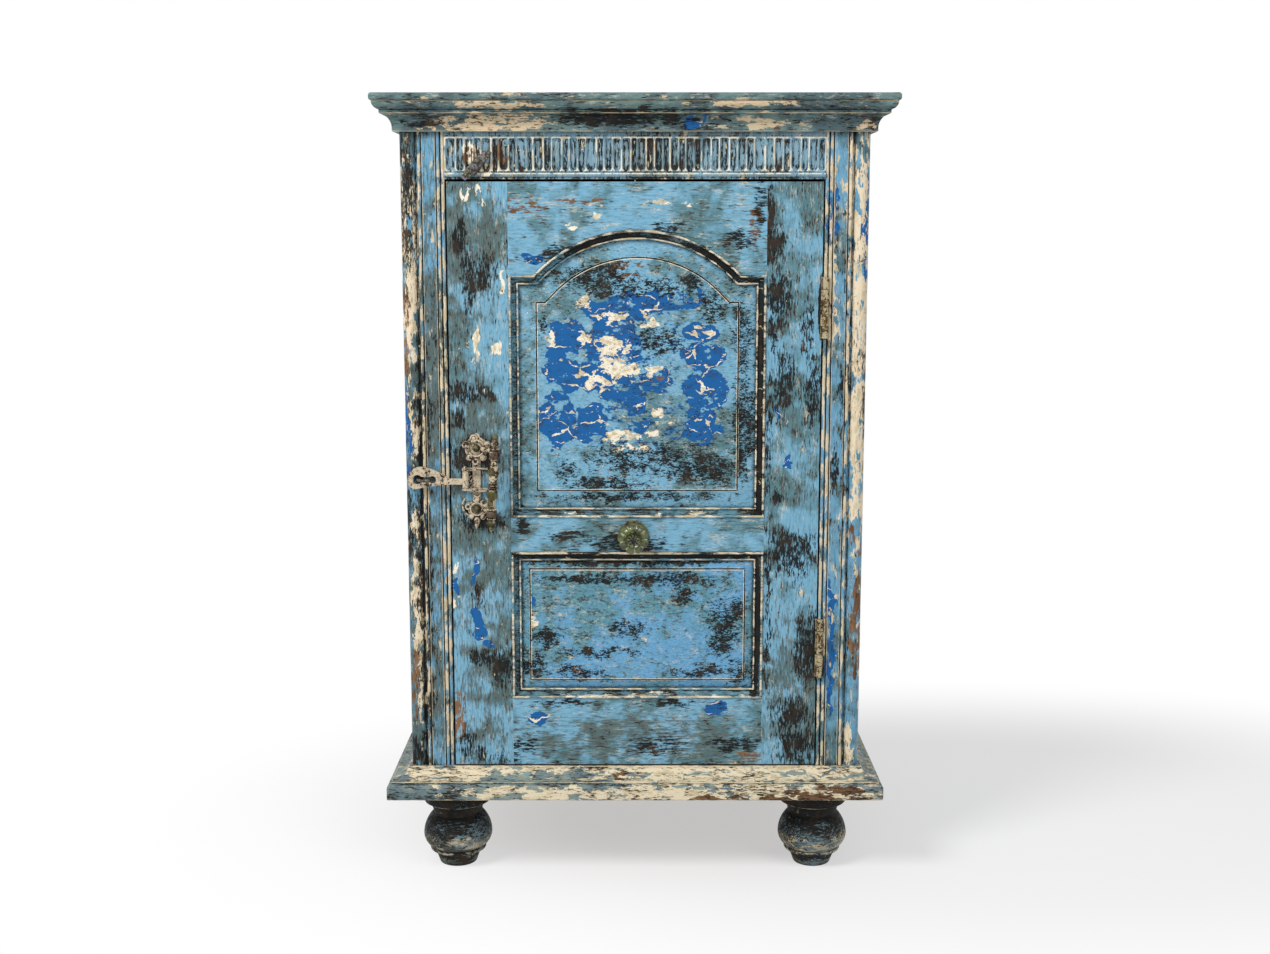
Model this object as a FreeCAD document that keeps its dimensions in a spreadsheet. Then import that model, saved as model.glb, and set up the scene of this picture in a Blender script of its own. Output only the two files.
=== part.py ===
import FreeCAD, Part
import math
import os

import Sketcher
from FreeCAD import Placement, Rotation, Vector

doc = FreeCAD.newDocument("SideCupboard")
sheet = doc.addObject("Spreadsheet::Sheet", "Sizes")


class Length:
    """A size worked out from the sheet: its expression and its value in millimetres."""

    def __init__(self, text, value):
        self.text = text
        self.value = value

    def combined(self, sign, other, value):
        return Length(f"({self.text} {sign} {written(other)})", value)

    def __add__(self, other):
        return self.combined("+", other, self.value + number(other))

    def __radd__(self, other):
        return as_length(other) + self

    def __sub__(self, other):
        return self.combined("-", other, self.value - number(other))

    def __rsub__(self, other):
        return as_length(other) - self

    def __mul__(self, other):
        return self.combined("*", other, self.value * number(other))

    def __rmul__(self, other):
        return as_length(other) * self

    def __truediv__(self, other):
        return self.combined("/", other, self.value / number(other))

    def __neg__(self):
        return as_length(0) - self


def written(value):
    return value.text if isinstance(value, Length) else repr(value)


def number(value):
    return float(value.value) if isinstance(value, Length) else float(value)


def as_length(value):
    return value if isinstance(value, Length) else Length(repr(value), value)


def square_root(value):
    return Length(f"sqrt({value.text})", math.sqrt(value.value))


def arc_angle(half_chord, radius):
    """Half the angle, in degrees, that a chord takes of its circle."""
    ratio = half_chord / radius
    return Length(f"asin({ratio.text})", math.degrees(math.asin(ratio.value)))


def arc_radius(width, rise):
    """Radius of the arc that is so wide and so high."""
    return (width * width / 4 + rise * rise) / (rise * 2)


def size(alias, value):
    """Write one driving dimension into the next row of the sheet."""
    size.row += 1
    sheet.set(f"A{size.row}", alias)
    sheet.set(f"B{size.row}", str(value))
    sheet.setAlias(f"B{size.row}", alias)
    return Length(f"Sizes.{alias}", value)


size.row = 0

# Carcass
body_width = size("body_width", 580)
body_depth = size("body_depth", 400)
knob_reach = size("knob_reach", 37)
foot_height = size("foot_height", 108.5)
plinth_height = size("plinth_height", 38)
opening_height = size("opening_height", 749)
frieze_height = size("frieze_height", 57)
cornice_height = size("cornice_height", 35.3)
top_thickness = size("top_thickness", 9.5)
top_overhang = size("top_overhang", 31)
top_edge_radius = size("top_edge_radius", 3.4)
base_thickness = size("base_thickness", 20)
rail_thickness = size("rail_thickness", 25)
side_rail_height = size("side_rail_height", 60)
rear_rail_height = size("rear_rail_height", 60)

# Joints between the rails and the posts
tenon_length = size("tenon_length", 20)
tenon_thickness = size("tenon_thickness", 9)
tenon_shoulder = size("tenon_shoulder", 4)
foot_tenon_depth = size("foot_tenon_depth", 8)
spigot_length = size("spigot_length", 11)
groove_depth = size("groove_depth", 7)
panel_float = size("panel_float", 1)

# Front posts
post_width = size("post_width", 55.5)
post_depth = size("post_depth", 45)
column_radius = size("column_radius", 10.5)
quirk_depth = size("quirk_depth", 5)
quirk_width = size("quirk_width", 2.6)
reed_width = size("reed_width", 4.4)
reed_rise = size("reed_rise", 1.9)
reed_gap = size("reed_gap", 1.2)
reed_quirk = size("reed_quirk", 3.4)
flat_setback = size("flat_setback", 0.8)

# Rear posts and back
rear_post_width = size("rear_post_width", 45)
rear_post_depth = size("rear_post_depth", 35)
back_board_thickness = size("back_board_thickness", 12)
back_rebate = size("back_rebate", 15)
back_board_gap = size("back_board_gap", 0.6)
nail_radius = size("nail_radius", 1.3)
nail_head_radius = size("nail_head_radius", 3)
nail_head_thickness = size("nail_head_thickness", 1)
nail_length = size("nail_length", 30)
nail_inset = size("nail_inset", 60)
side_panel_thickness = size("side_panel_thickness", 10)
side_panel_setback = size("side_panel_setback", 8)

# Frieze
flute_pairs = 20
flute_height = size("flute_height", 38.5)
flute_top_margin = size("flute_top_margin", 8.5)
wide_flute = size("wide_flute", 11)
wide_flute_depth = size("wide_flute_depth", 2.6)
narrow_flute = size("narrow_flute", 6.6)
narrow_flute_depth = size("narrow_flute_depth", 2)
astragal_width = size("astragal_width", 5.6)
astragal_rise = size("astragal_rise", 2.5)
astragal_lift = size("astragal_lift", 2.6)
frieze_peg_spacing = size("frieze_peg_spacing", 317)
frieze_peg_radius = size("frieze_peg_radius", 4)
frieze_peg_length = size("frieze_peg_length", 20)
frieze_peg_drop = size("frieze_peg_drop", 13)

# Cornice, by how far each part stands out
cornice_fillet_out = size("cornice_fillet_out", 20.5)
cornice_ovolo_out = size("cornice_ovolo_out", 28.5)
cornice_ovolo_low = size("cornice_ovolo_low", 10)
cornice_ovolo_bulge = size("cornice_ovolo_bulge", 2.4)
cornice_fillet_low = size("cornice_fillet_low", 14.5)
cornice_cove_out = size("cornice_cove_out", 18)
cornice_cove_foot = size("cornice_cove_foot", 7)
cornice_bead = size("cornice_bead", 4.5)

# Plinth
plinth_out = size("plinth_out", 29)
plinth_top_out = size("plinth_top_out", 4)
plinth_fillet = size("plinth_fillet", 2.8)
plinth_cove_out = size("plinth_cove_out", 21.5)
plinth_cove_sink = size("plinth_cove_sink", 3)
plinth_step_out = size("plinth_step_out", 24)
plinth_torus = size("plinth_torus", 21)
plinth_step = size("plinth_step", 1.8)
plinth_edge = size("plinth_edge", 2)

# Feet, each radius with its height above the floor
foot_inset = size("foot_inset", 54)
foot_setback = size("foot_setback", 45)
spigot_radius = size("spigot_radius", 12.5)
foot_base_radius = size("foot_base_radius", 25)
foot_base_edge = size("foot_base_edge", 2.5)
foot_taper_radius = size("foot_taper_radius", 32)
foot_taper_height = size("foot_taper_height", 13)
foot_ring_radius = size("foot_ring_radius", 35.5)
foot_ring_height = size("foot_ring_height", 5)
foot_ring_bulge = size("foot_ring_bulge", 1.7)
foot_belly_radius = size("foot_belly_radius", 45.5)
foot_belly_height = size("foot_belly_height", 39)
foot_neck_radius = size("foot_neck_radius", 32.5)
foot_neck_height = size("foot_neck_height", 70)
foot_flange_radius = size("foot_flange_radius", 44)
foot_flange_height = size("foot_flange_height", 86)

# Shelf
shelf_thickness = size("shelf_thickness", 16)
shelf_height = size("shelf_height", 520)
shelf_gap = size("shelf_gap", 1)
batten_height = size("batten_height", 22)
batten_width = size("batten_width", 20)

# Door
door_thickness = size("door_thickness", 22)
door_side_gap = size("door_side_gap", 2)
door_top_gap = size("door_top_gap", 3)
door_bottom_gap = size("door_bottom_gap", 1.5)
stop_width = size("stop_width", 12)
stop_gap = size("stop_gap", 0.5)
left_stile_width = size("left_stile_width", 75)
right_stile_width = size("right_stile_width", 69)
bottom_rail_height = size("bottom_rail_height", 88.6)
lower_panel_height = size("lower_panel_height", 192)
middle_rail_height = size("middle_rail_height", 44.4)
upper_panel_height = size("upper_panel_height", 305.3)
arch_rise = size("arch_rise", 55.8)
shoulder_width = size("shoulder_width", 31)
door_tenon_length = size("door_tenon_length", 40)
door_tenon_thickness = size("door_tenon_thickness", 8)
door_tenon_setback = size("door_tenon_setback", 8)
door_tenon_shoulder = size("door_tenon_shoulder", 8)
peg_radius = size("peg_radius", 3)
peg_length = size("peg_length", 17)
peg_inset = size("peg_inset", 14)

# Door panels and the mouldings round them
panel_setback = size("panel_setback", 9)
panel_thickness = size("panel_thickness", 6)
bevel_rise = size("bevel_rise", 3.5)
field_step = size("field_step", 1.5)
upper_margin = size("upper_margin", 23)
lower_margin = size("lower_margin", 12)
moulding_width = size("moulding_width", 12)
outer_bead_width = size("outer_bead_width", 3.2)
outer_bead_proud = size("outer_bead_proud", 2.4)
outer_bead_crown = size("outer_bead_crown", 1.3)
inner_bead_width = size("inner_bead_width", 3)
inner_bead_drop = size("inner_bead_drop", 5)
inner_bead_crown = size("inner_bead_crown", 1.2)
cove_start = size("cove_start", 0.6)
cove_sink = size("cove_sink", 1.6)

# Hinges
hinge_height = size("hinge_height", 76)
hinge_upper_height = size("hinge_upper_height", 738)
hinge_lower_height = size("hinge_lower_height", 303.5)
hinge_reach = size("hinge_reach", 2.2)
hinge_proud = size("hinge_proud", 3.5)
knuckle_radius = size("knuckle_radius", 4.1)
knuckle_gap = size("knuckle_gap", 0.3)
pin_radius = size("pin_radius", 1.6)
pin_fit = size("pin_fit", 0.06)
leaf_thickness = size("leaf_thickness", 1.8)
leaf_let_in = size("leaf_let_in", 1.5)
hinge_notch_width = size("hinge_notch_width", 7.5)
hinge_notch_depth = size("hinge_notch_depth", 2.5)
hinge_notch_gap = size("hinge_notch_gap", 0.5)
screw_head_radius = size("screw_head_radius", 3.4)
screw_head_depth = size("screw_head_depth", 1.6)
screw_radius = size("screw_radius", 1.7)
screw_length = size("screw_length", 14)
screw_spacing = size("screw_spacing", 25)
screw_inset = size("screw_inset", 8.8)
fixing_fit = size("fixing_fit", 0.05)

# Knob
knob_drop = size("knob_drop", 0.8)
knob_offset = size("knob_offset", 2)
knob_lobes = 9
knob_lobe_radius = size("knob_lobe_radius", 12)
knob_lobe_ring = size("knob_lobe_ring", 8.4)
knob_neck_radius = size("knob_neck_radius", 9)
rosette_radius = size("rosette_radius", 19)
rosette_thickness = size("rosette_thickness", 2.4)
bolt_radius = size("bolt_radius", 2.5)
bolt_head_radius = size("bolt_head_radius", 4.2)
bolt_head_height = size("bolt_head_height", 2.2)
bolt_tail = size("bolt_tail", 6)
nut_width = size("nut_width", 10)
nut_thickness = size("nut_thickness", 4)

# Turn button
button_inset = size("button_inset", 38.5)
button_lift = size("button_lift", 15.5)
button_tilt = size("button_tilt", 45)
button_upper_arm = size("button_upper_arm", 26)
button_lower_arm = size("button_lower_arm", 21.5)
button_width = size("button_width", 13)
button_tip_width = size("button_tip_width", 7)
button_tip_length = size("button_tip_length", 6)
button_thickness = size("button_thickness", 4)
button_boss_radius = size("button_boss_radius", 6)
button_boss_height = size("button_boss_height", 4)
button_screw_radius = size("button_screw_radius", 2)
button_screw_head = size("button_screw_head", 4.6)
button_screw_length = size("button_screw_length", 22)
turning_fit = size("turning_fit", 0.08)

# Latch plate and grip
latch_inset = size("latch_inset", 32.5)
plate_thickness = size("plate_thickness", 2.5)
plate_strip_width = size("plate_strip_width", 10)
upper_rose_lift = size("upper_rose_lift", 39)
lower_rose_drop = size("lower_rose_drop", 38.5)
upper_rose_radius = size("upper_rose_radius", 14.5)
lower_rose_radius = size("lower_rose_radius", 11.5)
lobe_radius = size("lobe_radius", 4.6)
lobe_angles = (18, 90, 162, 234, 306)
plate_tip = size("plate_tip", 24)
dome_radius = size("dome_radius", 4.8)
dome_shank_radius = size("dome_shank_radius", 1.8)
dome_shank_length = size("dome_shank_length", 16)
grip_offset = size("grip_offset", 22.5)
grip_proud = size("grip_proud", 22)
grip_length = size("grip_length", 125)
grip_radius = size("grip_radius", 6.8)
grip_drop = size("grip_drop", 2.5)
grip_tilt = size("grip_tilt", 3.6)
arm_radius = size("arm_radius", 2.8)
arm_start = size("arm_start", 8.5)

# Hasp and staple
hasp_height = size("hasp_height", 523)
hasp_pivot_reach = size("hasp_pivot_reach", 13.5)
hasp_pivot_proud = size("hasp_pivot_proud", 7)
hasp_knuckle_radius = size("hasp_knuckle_radius", 4)
hasp_knuckle_height = size("hasp_knuckle_height", 22)
hasp_pin_radius = size("hasp_pin_radius", 1.5)
hasp_pin_head = size("hasp_pin_head", 2.8)
hasp_lug_thickness = size("hasp_lug_thickness", 2.6)
hasp_lug_gap = size("hasp_lug_gap", 0.4)
lug_tail_reach = size("lug_tail_reach", 14)
hasp_thickness = size("hasp_thickness", 4)
hasp_sink = size("hasp_sink", 1.6)
hasp_neck_height = size("hasp_neck_height", 7.4)
hasp_neck_drop = size("hasp_neck_drop", 2.5)
hasp_neck_length = size("hasp_neck_length", 22)
hasp_head_length = size("hasp_head_length", 51)
hasp_crown = size("hasp_crown", 15.5)
hasp_crown_place = size("hasp_crown_place", 22)
hasp_brow_bulge = size("hasp_brow_bulge", 2)
hasp_nose_bulge = size("hasp_nose_bulge", 6.5)
hasp_chin = size("hasp_chin", 12)
hasp_chin_place = size("hasp_chin_place", 11)
hasp_chin_bulge = size("hasp_chin_bulge", 4)
hasp_jaw_place = size("hasp_jaw_place", 27)
slot_spacing = size("slot_spacing", 19)
slot_outer_radius = size("slot_outer_radius", 6)
slot_inner_radius = size("slot_inner_radius", 4.6)
slot_waist = size("slot_waist", 3.6)
slot_end_margin = size("slot_end_margin", 6.5)
staple_spacing = size("staple_spacing", 17)
staple_radius = size("staple_radius", 1.7)
staple_proud = size("staple_proud", 22)
staple_depth = size("staple_depth", 12)

# Places worked out from the sizes: x across, y from the front to the back, z up from the floor
half_width = body_width / 2
front = -(body_depth - knob_reach) / 2
back = front + body_depth
base_top = foot_height + base_thickness
opening_low = foot_height + plinth_height
opening_top = opening_low + opening_height
frieze_top = opening_top + frieze_height
top_low = frieze_top + cornice_height
post_rear = front + post_depth
rear_post_front = back - rear_post_depth
boards_front = back - back_board_thickness
opening_half = half_width - post_width
button_offset = opening_half - button_inset
door_half = opening_half - door_side_gap
latch_offset = door_half - latch_inset
door_low = opening_low + door_bottom_gap
door_top = opening_top - door_top_gap
door_back = front + door_thickness
SIDES = (("left", -1), ("right", 1))

TOWARD = {
    "x": Rotation(Vector(0, 1, 0), 90),
    "-x": Rotation(Vector(0, 1, 0), -90),
    "y": Rotation(Vector(1, 0, 0), -90),
    "-y": Rotation(Vector(1, 0, 0), 90),
    "z": Rotation(),
}

sub_parts = []


def sub_part(label, shape):
    """Give a finished piece its label and put it on the list that is written out."""
    shape.Label = label
    sub_parts.append(shape)
    return shape


def bind(obj, **lengths):
    for name, value in lengths.items():
        obj.setExpression(name, written(value))


def put(obj, at, turn=Rotation()):
    """Turn an object and bind its place to three lengths."""
    obj.Placement = Placement(Vector(), turn)
    for letter, value in zip("xyz", at):
        obj.setExpression(f"Placement.Base.{letter}", written(value))
    return obj


def box(name, low, high):
    """A block between its lowest and its highest corner."""
    block = doc.addObject("Part::Box", name)
    spans = [as_length(end) - start for start, end in zip(low, high)]
    bind(block, Length=spans[0], Width=spans[1], Height=spans[2])
    return put(block, low)


def side_box(name, side, inner, outer, low_yz, high_yz):
    """A block on one side of the middle, between two distances from it."""
    near, far = (inner, outer) if side > 0 else (-outer, -inner)
    return box(name, (near, *low_yz), (far, *high_yz))


def rod(name, radius, length, at, toward):
    """A cylinder from a point towards one axis."""
    cylinder = doc.addObject("Part::Cylinder", name)
    bind(cylinder, Radius=radius, Height=length)
    return put(cylinder, at, TOWARD[toward])


def cone(name, radius, tip_radius, length, at, toward):
    taper = doc.addObject("Part::Cone", name)
    bind(taper, Radius1=radius, Radius2=tip_radius, Height=length)
    return put(taper, at, TOWARD[toward])


def dome(name, radius, at, toward):
    """Half a ball on the plane through its centre."""
    ball = doc.addObject("Part::Sphere", name)
    ball.Angle1 = 0
    bind(ball, Radius=radius)
    return put(ball, at, TOWARD[toward])


def fuse(name, pieces):
    joined = doc.addObject("Part::MultiFuse", name)
    joined.Shapes = pieces
    return joined


def group(name, pieces):
    """Separate solids kept as one sub-part."""
    bundle = doc.addObject("Part::Compound", name)
    bundle.Links = pieces
    return bundle


def cut(name, base, tools):
    result = doc.addObject("Part::Cut", name)
    result.Base = base
    result.Tool = tools[0] if len(tools) == 1 else fuse(f"{name}_tools", tools)
    return result


def common(name, first, second):
    result = doc.addObject("Part::Common", name)
    result.Base = first
    result.Tool = second
    return result


def arc_through(start, end, radius, sweep, large):
    """Arc from start to end, sweep 1 anticlockwise; it is stored anticlockwise."""
    chord = end - start
    left = Vector(-chord.y, chord.x, 0).normalize()
    middle = (start + end) * 0.5
    offset = math.sqrt(max(radius ** 2 - (chord.Length / 2) ** 2, 0.0))
    centre = middle + left * (offset * (sweep if not large else -sweep))
    top = centre - left * (radius * sweep)
    return Part.Arc(start, top, end) if sweep > 0 else Part.Arc(end, top, start)


def outline(body, name, role, corners, lift=None):
    """Closed sketch on one of the body's own planes.

    Each corner is (x, y), reached by a straight line from the one before, or
    (x, y, radius, sweep, large), reached by an arc.
    """
    sketch = body.newObject("Sketcher::SketchObject", name)
    plane = next(item for item in body.Origin.OriginFeatures if item.Role == role)
    sketch.AttachmentSupport = (plane, "")
    sketch.MapMode = "FlatFace"
    if lift is not None:
        sketch.setExpression("AttachmentOffset.Base.z", written(lift))
    spots = [Vector(number(corner[0]), number(corner[1]), 0) for corner in corners]
    edges = []
    for index, corner in enumerate(corners):
        start, end = spots[index - 1], spots[index]
        if len(corner) == 2:
            edges.append((sketch.addGeometry(Part.LineSegment(start, end)), 1, 2))
            continue
        radius, sweep, large = corner[2:]
        arc = sketch.addGeometry(arc_through(start, end, number(radius), sweep, large))
        edges.append((arc, 1, 2) if sweep > 0 else (arc, 2, 1))
        bind_constraint(sketch, Sketcher.Constraint("Radius", arc, number(radius)), radius)
    for index, corner in enumerate(corners):
        edge, _, last = edges[index]
        following, first, _ = edges[(index + 1) % len(edges)]
        sketch.addConstraint(Sketcher.Constraint("Coincident", edge, last, following, first))
        for kind, value in (("DistanceX", corner[0]), ("DistanceY", corner[1])):
            place = Sketcher.Constraint(kind, -1, 1, edge, last, number(value))
            bind_constraint(sketch, place, value)
    return sketch


def bind_constraint(sketch, constraint, value):
    index = sketch.addConstraint(constraint)
    sketch.setExpression(f"Constraints[{index}]", written(value))


def pad(name, role, corners, depth, at, turn=Rotation()):
    """A body padded from one outline."""
    body = doc.addObject("PartDesign::Body", name)
    extrude = body.newObject("PartDesign::Pad", f"{name}_pad")
    extrude.Profile = outline(body, f"{name}_outline", role, corners)
    bind(extrude, Length=depth)
    return put(body, at, turn)


def turned(name, corners, at, turn=Rotation()):
    """A body turned on its own Z axis from a half profile of (radius, height)."""
    body = doc.addObject("PartDesign::Body", name)
    revolution = body.newObject("PartDesign::Revolution", f"{name}_turning")
    profile = outline(body, f"{name}_profile", "XZ_Plane", corners)
    revolution.Profile = profile
    revolution.ReferenceAxis = (profile, ["V_Axis"])
    return put(body, at, turn)


def tenon_across(name, side, shoulder, low_y, low_z, high_z):
    """Tenon or mortise on one end of a rail that runs across the cupboard."""
    centre = low_y + rail_thickness / 2
    low = (centre - tenon_thickness / 2, low_z + tenon_shoulder)
    high = (centre + tenon_thickness / 2, high_z - tenon_shoulder)
    return side_box(name, side, shoulder, shoulder + tenon_length, low, high)


def tenon_back(name, side, start_y, end_y, low_z, high_z):
    """Tenon or mortise of a side rail, which runs from front to back."""
    centre = half_width - rail_thickness / 2
    inner, outer = centre - tenon_thickness / 2, centre + tenon_thickness / 2
    low, high = (start_y, low_z + tenon_shoulder), (end_y, high_z - tenon_shoulder)
    return side_box(name, side, inner, outer, low, high)


SIDE_RAILS = (
    ("top", top_low - side_rail_height, top_low),
    ("bottom", base_top, base_top + side_rail_height),
)


def side_panel_block(name, side, overlap):
    """The side panel's block, let into its frame by the overlap."""
    outer = half_width - side_panel_setback
    low = (post_rear - overlap, base_top + side_rail_height - overlap)
    high = (rear_post_front + overlap, top_low - side_rail_height + overlap)
    return side_box(name, side, outer - side_panel_thickness, outer, low, high)


def foot_tenon(name, side, low_y, high_y, inner, outer):
    """Stub tenon under a post, or its mortise in the base board."""
    return side_box(name, side, inner, outer, (low_y, base_top - foot_tenon_depth), (high_y, base_top))


def front_foot_tenon(name, side):
    inner = half_width - post_width + tenon_shoulder
    return foot_tenon(name, side, front + post_depth / 2, post_rear - tenon_shoulder,
                      inner, inner + tenon_length)


def rear_foot_tenon(name, side):
    inner = half_width - rear_post_width + back_rebate + tenon_shoulder
    return foot_tenon(name, side, rear_post_front + tenon_shoulder, boards_front - tenon_shoulder,
                      inner, inner + tenon_length)


HINGES = (("upper", hinge_upper_height), ("lower", hinge_lower_height))
pin_x = opening_half + hinge_reach
pin_y = front - hinge_proud
leaf_back = door_back
screw_y = leaf_back - screw_inset


def post_section(side):
    """Plan of a front post, from the column at its outer corner to the inner face."""
    near = column_radius + square_root(
        column_radius * column_radius
        - (column_radius - quirk_depth) * (column_radius - quirk_depth))
    reed = arc_radius(reed_width, reed_rise)
    strip = near + quirk_width + reed_width
    pair = post_width - reed_width * 2 - reed_gap
    steps = [
        (quirk_depth, near),
        (near, quirk_depth, column_radius, 1, True),
        (near + quirk_width, quirk_depth),
        (near + quirk_width, reed_rise),
        (strip, reed_rise, reed, 1, False),
        (strip, reed_quirk),
        (strip + reed_gap, reed_quirk),
        (strip + reed_gap, flat_setback),
        (pair - reed_gap, flat_setback),
        (pair - reed_gap, reed_quirk),
        (pair, reed_quirk),
        (pair, reed_rise),
        (pair + reed_width, reed_rise, reed, 1, False),
        (pair + reed_width, reed_quirk),
        (pair + reed_width + reed_gap, reed_quirk),
        (pair + reed_width + reed_gap, reed_rise),
        (post_width, reed_rise, reed, 1, False),
        (post_width, post_depth),
        (as_length(0), post_depth),
        (as_length(0), near + quirk_width),
        (quirk_depth, near + quirk_width),
    ]
    corners = []
    for step in steps:
        across, depth, *arc = step
        if arc:
            arc = [arc[0], -side * arc[1], arc[2]]
        corners.append((-side * across, depth, *arc))
    return corners


def make_front_post(label, side):
    blank = pad(f"{label}_blank", "XY_Plane", post_section(side), top_low - base_top,
                (side * half_width, front, base_top))
    blocks = [side_box(f"{label}_{place}_block", side, opening_half, half_width,
                       (front, low), (post_rear, high))
              for place, low, high in (("plinth", base_top, opening_low),
                                       ("cornice", frieze_top, top_low))]
    body = fuse(f"{label}_tenoned", [blank, *blocks, front_foot_tenon(f"{label}_tenon", side)])
    tools = [
        tenon_across(f"{label}_frieze_mortise", side, opening_half, front, opening_top, top_low),
        tenon_across(f"{label}_sill_mortise", side, opening_half, front, base_top, opening_low),
        side_panel_block(f"{label}_groove", side, groove_depth),
    ]
    for name, low, high in SIDE_RAILS:
        tools.append(tenon_back(f"{label}_{name}_mortise", side, post_rear - tenon_length,
                                post_rear, low, high))
    if side < 0:
        tools += [rod(f"staple_hole_{index}", staple_radius + fixing_fit, staple_depth,
                      (x, front, hasp_height), "y") for index, x in enumerate(staple_legs())]
    else:
        for name, height in HINGES:
            low, high = height - hinge_height / 2, height + hinge_height / 2
            tools.append(box(
                f"{name}_hinge_notch",
                (opening_half, front, low - hinge_notch_gap),
                (opening_half + hinge_notch_width, front + hinge_notch_depth,
                 high + hinge_notch_gap)))
            tools.append(box(
                f"{name}_frame_leaf_recess", (opening_half, front + hinge_notch_depth, low),
                (opening_half + leaf_thickness, leaf_back, high)))
            tools += screw_shanks(f"{name}_frame_screw_hole", height, 1, fixing_fit)
    sub_part(label, cut(label, body, tools))


def screw_row(height):
    return [height + screw_spacing * step for step in (-1, 0, 1)]


def screw_start(direction):
    """Face of the hinge leaf that the screw heads lie flush with."""
    if direction > 0:
        return opening_half
    return door_half + leaf_thickness - leaf_let_in


def screw_shanks(name, height, direction, fit):
    toward = "x" if direction > 0 else "-x"
    return [rod(f"{name}_{index}", screw_radius + fit, screw_length,
                (screw_start(direction), screw_y, z), toward)
            for index, z in enumerate(screw_row(height))]


def screw_heads(name, height, direction, fit):
    toward = "x" if direction > 0 else "-x"
    return [cone(f"{name}_{index}", screw_head_radius + fit, screw_radius + fit, screw_head_depth,
                 (screw_start(direction), screw_y, z), toward)
            for index, z in enumerate(screw_row(height))]


def staple_legs():
    """Where the staple's two legs enter the post, across the cupboard."""
    middle = hasp_slot_middle()
    return middle - staple_spacing / 2, middle + staple_spacing / 2


def hasp_slot_middle():
    head_end = hasp_pivot_x - hasp_neck_length - hasp_head_length
    return head_end + slot_end_margin + slot_outer_radius + slot_spacing / 2


hasp_pivot_x = -(latch_offset + hasp_pivot_reach)


def make_rear_post(label, side):
    inner = half_width - rear_post_width
    blank = side_box(f"{label}_blank", side, inner, half_width,
                     (rear_post_front, base_top), (back, top_low))
    body = fuse(f"{label}_tenoned", [blank, rear_foot_tenon(f"{label}_tenon", side)])
    tools = [
        side_box(f"{label}_rebate", side, inner, inner + back_rebate,
                 (boards_front, base_top), (back, top_low)),
        tenon_across(f"{label}_rear_mortise", side, inner, boards_front - rail_thickness,
                     top_low - rear_rail_height, top_low),
        side_panel_block(f"{label}_groove", side, groove_depth),
    ]
    for name, low, high in SIDE_RAILS:
        tools.append(tenon_back(f"{label}_{name}_mortise", side, rear_post_front,
                                rear_post_front + tenon_length, low, high))
    sub_part(label, cut(label, body, tools))


def make_side_rail(label, side, low, high):
    block = side_box(f"{label}_blank", side, half_width - rail_thickness, half_width,
                     (post_rear, low), (rear_post_front, high))
    tenons = [
        tenon_back(f"{label}_front_tenon", side, post_rear - tenon_length, post_rear, low, high),
        tenon_back(f"{label}_rear_tenon", side, rear_post_front,
                   rear_post_front + tenon_length, low, high),
    ]
    body = fuse(f"{label}_tenoned", [block, *tenons])
    sub_part(label, cut(label, body, [side_panel_block(f"{label}_groove", side, groove_depth)]))


def make_sides():
    for name, side in SIDES:
        make_front_post(f"front_post_{name}", side)
        make_rear_post(f"rear_post_{name}", side)
        for place, low, high in SIDE_RAILS:
            make_side_rail(f"side_{place}_rail_{name}", side, low, high)
        sub_part(f"side_panel_{name}", side_panel_block(
            f"side_panel_{name}", side, groove_depth - panel_float))


def flute_groove(body, name, width, depth, middle, start):
    """Revolved cut for one flute, its end at the bottom rounded."""
    radius = arc_radius(width, depth)
    sketch = outline(body, f"{name}_profile", "YZ_Plane", [
        (as_length(0), flute_low),
        (radius, flute_low + radius, radius, 1, False),
        (radius, flute_low + flute_height),
        (as_length(0), flute_low + flute_height),
    ], lift=start + middle)
    sketch.setExpression("AttachmentOffset.Base.x", written(depth - radius))
    groove = body.newObject("PartDesign::Groove", name)
    groove.Profile = sketch
    groove.ReferenceAxis = (sketch, ["V_Axis"])
    return groove


flute_low = frieze_top - opening_top - flute_top_margin - flute_height


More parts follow.
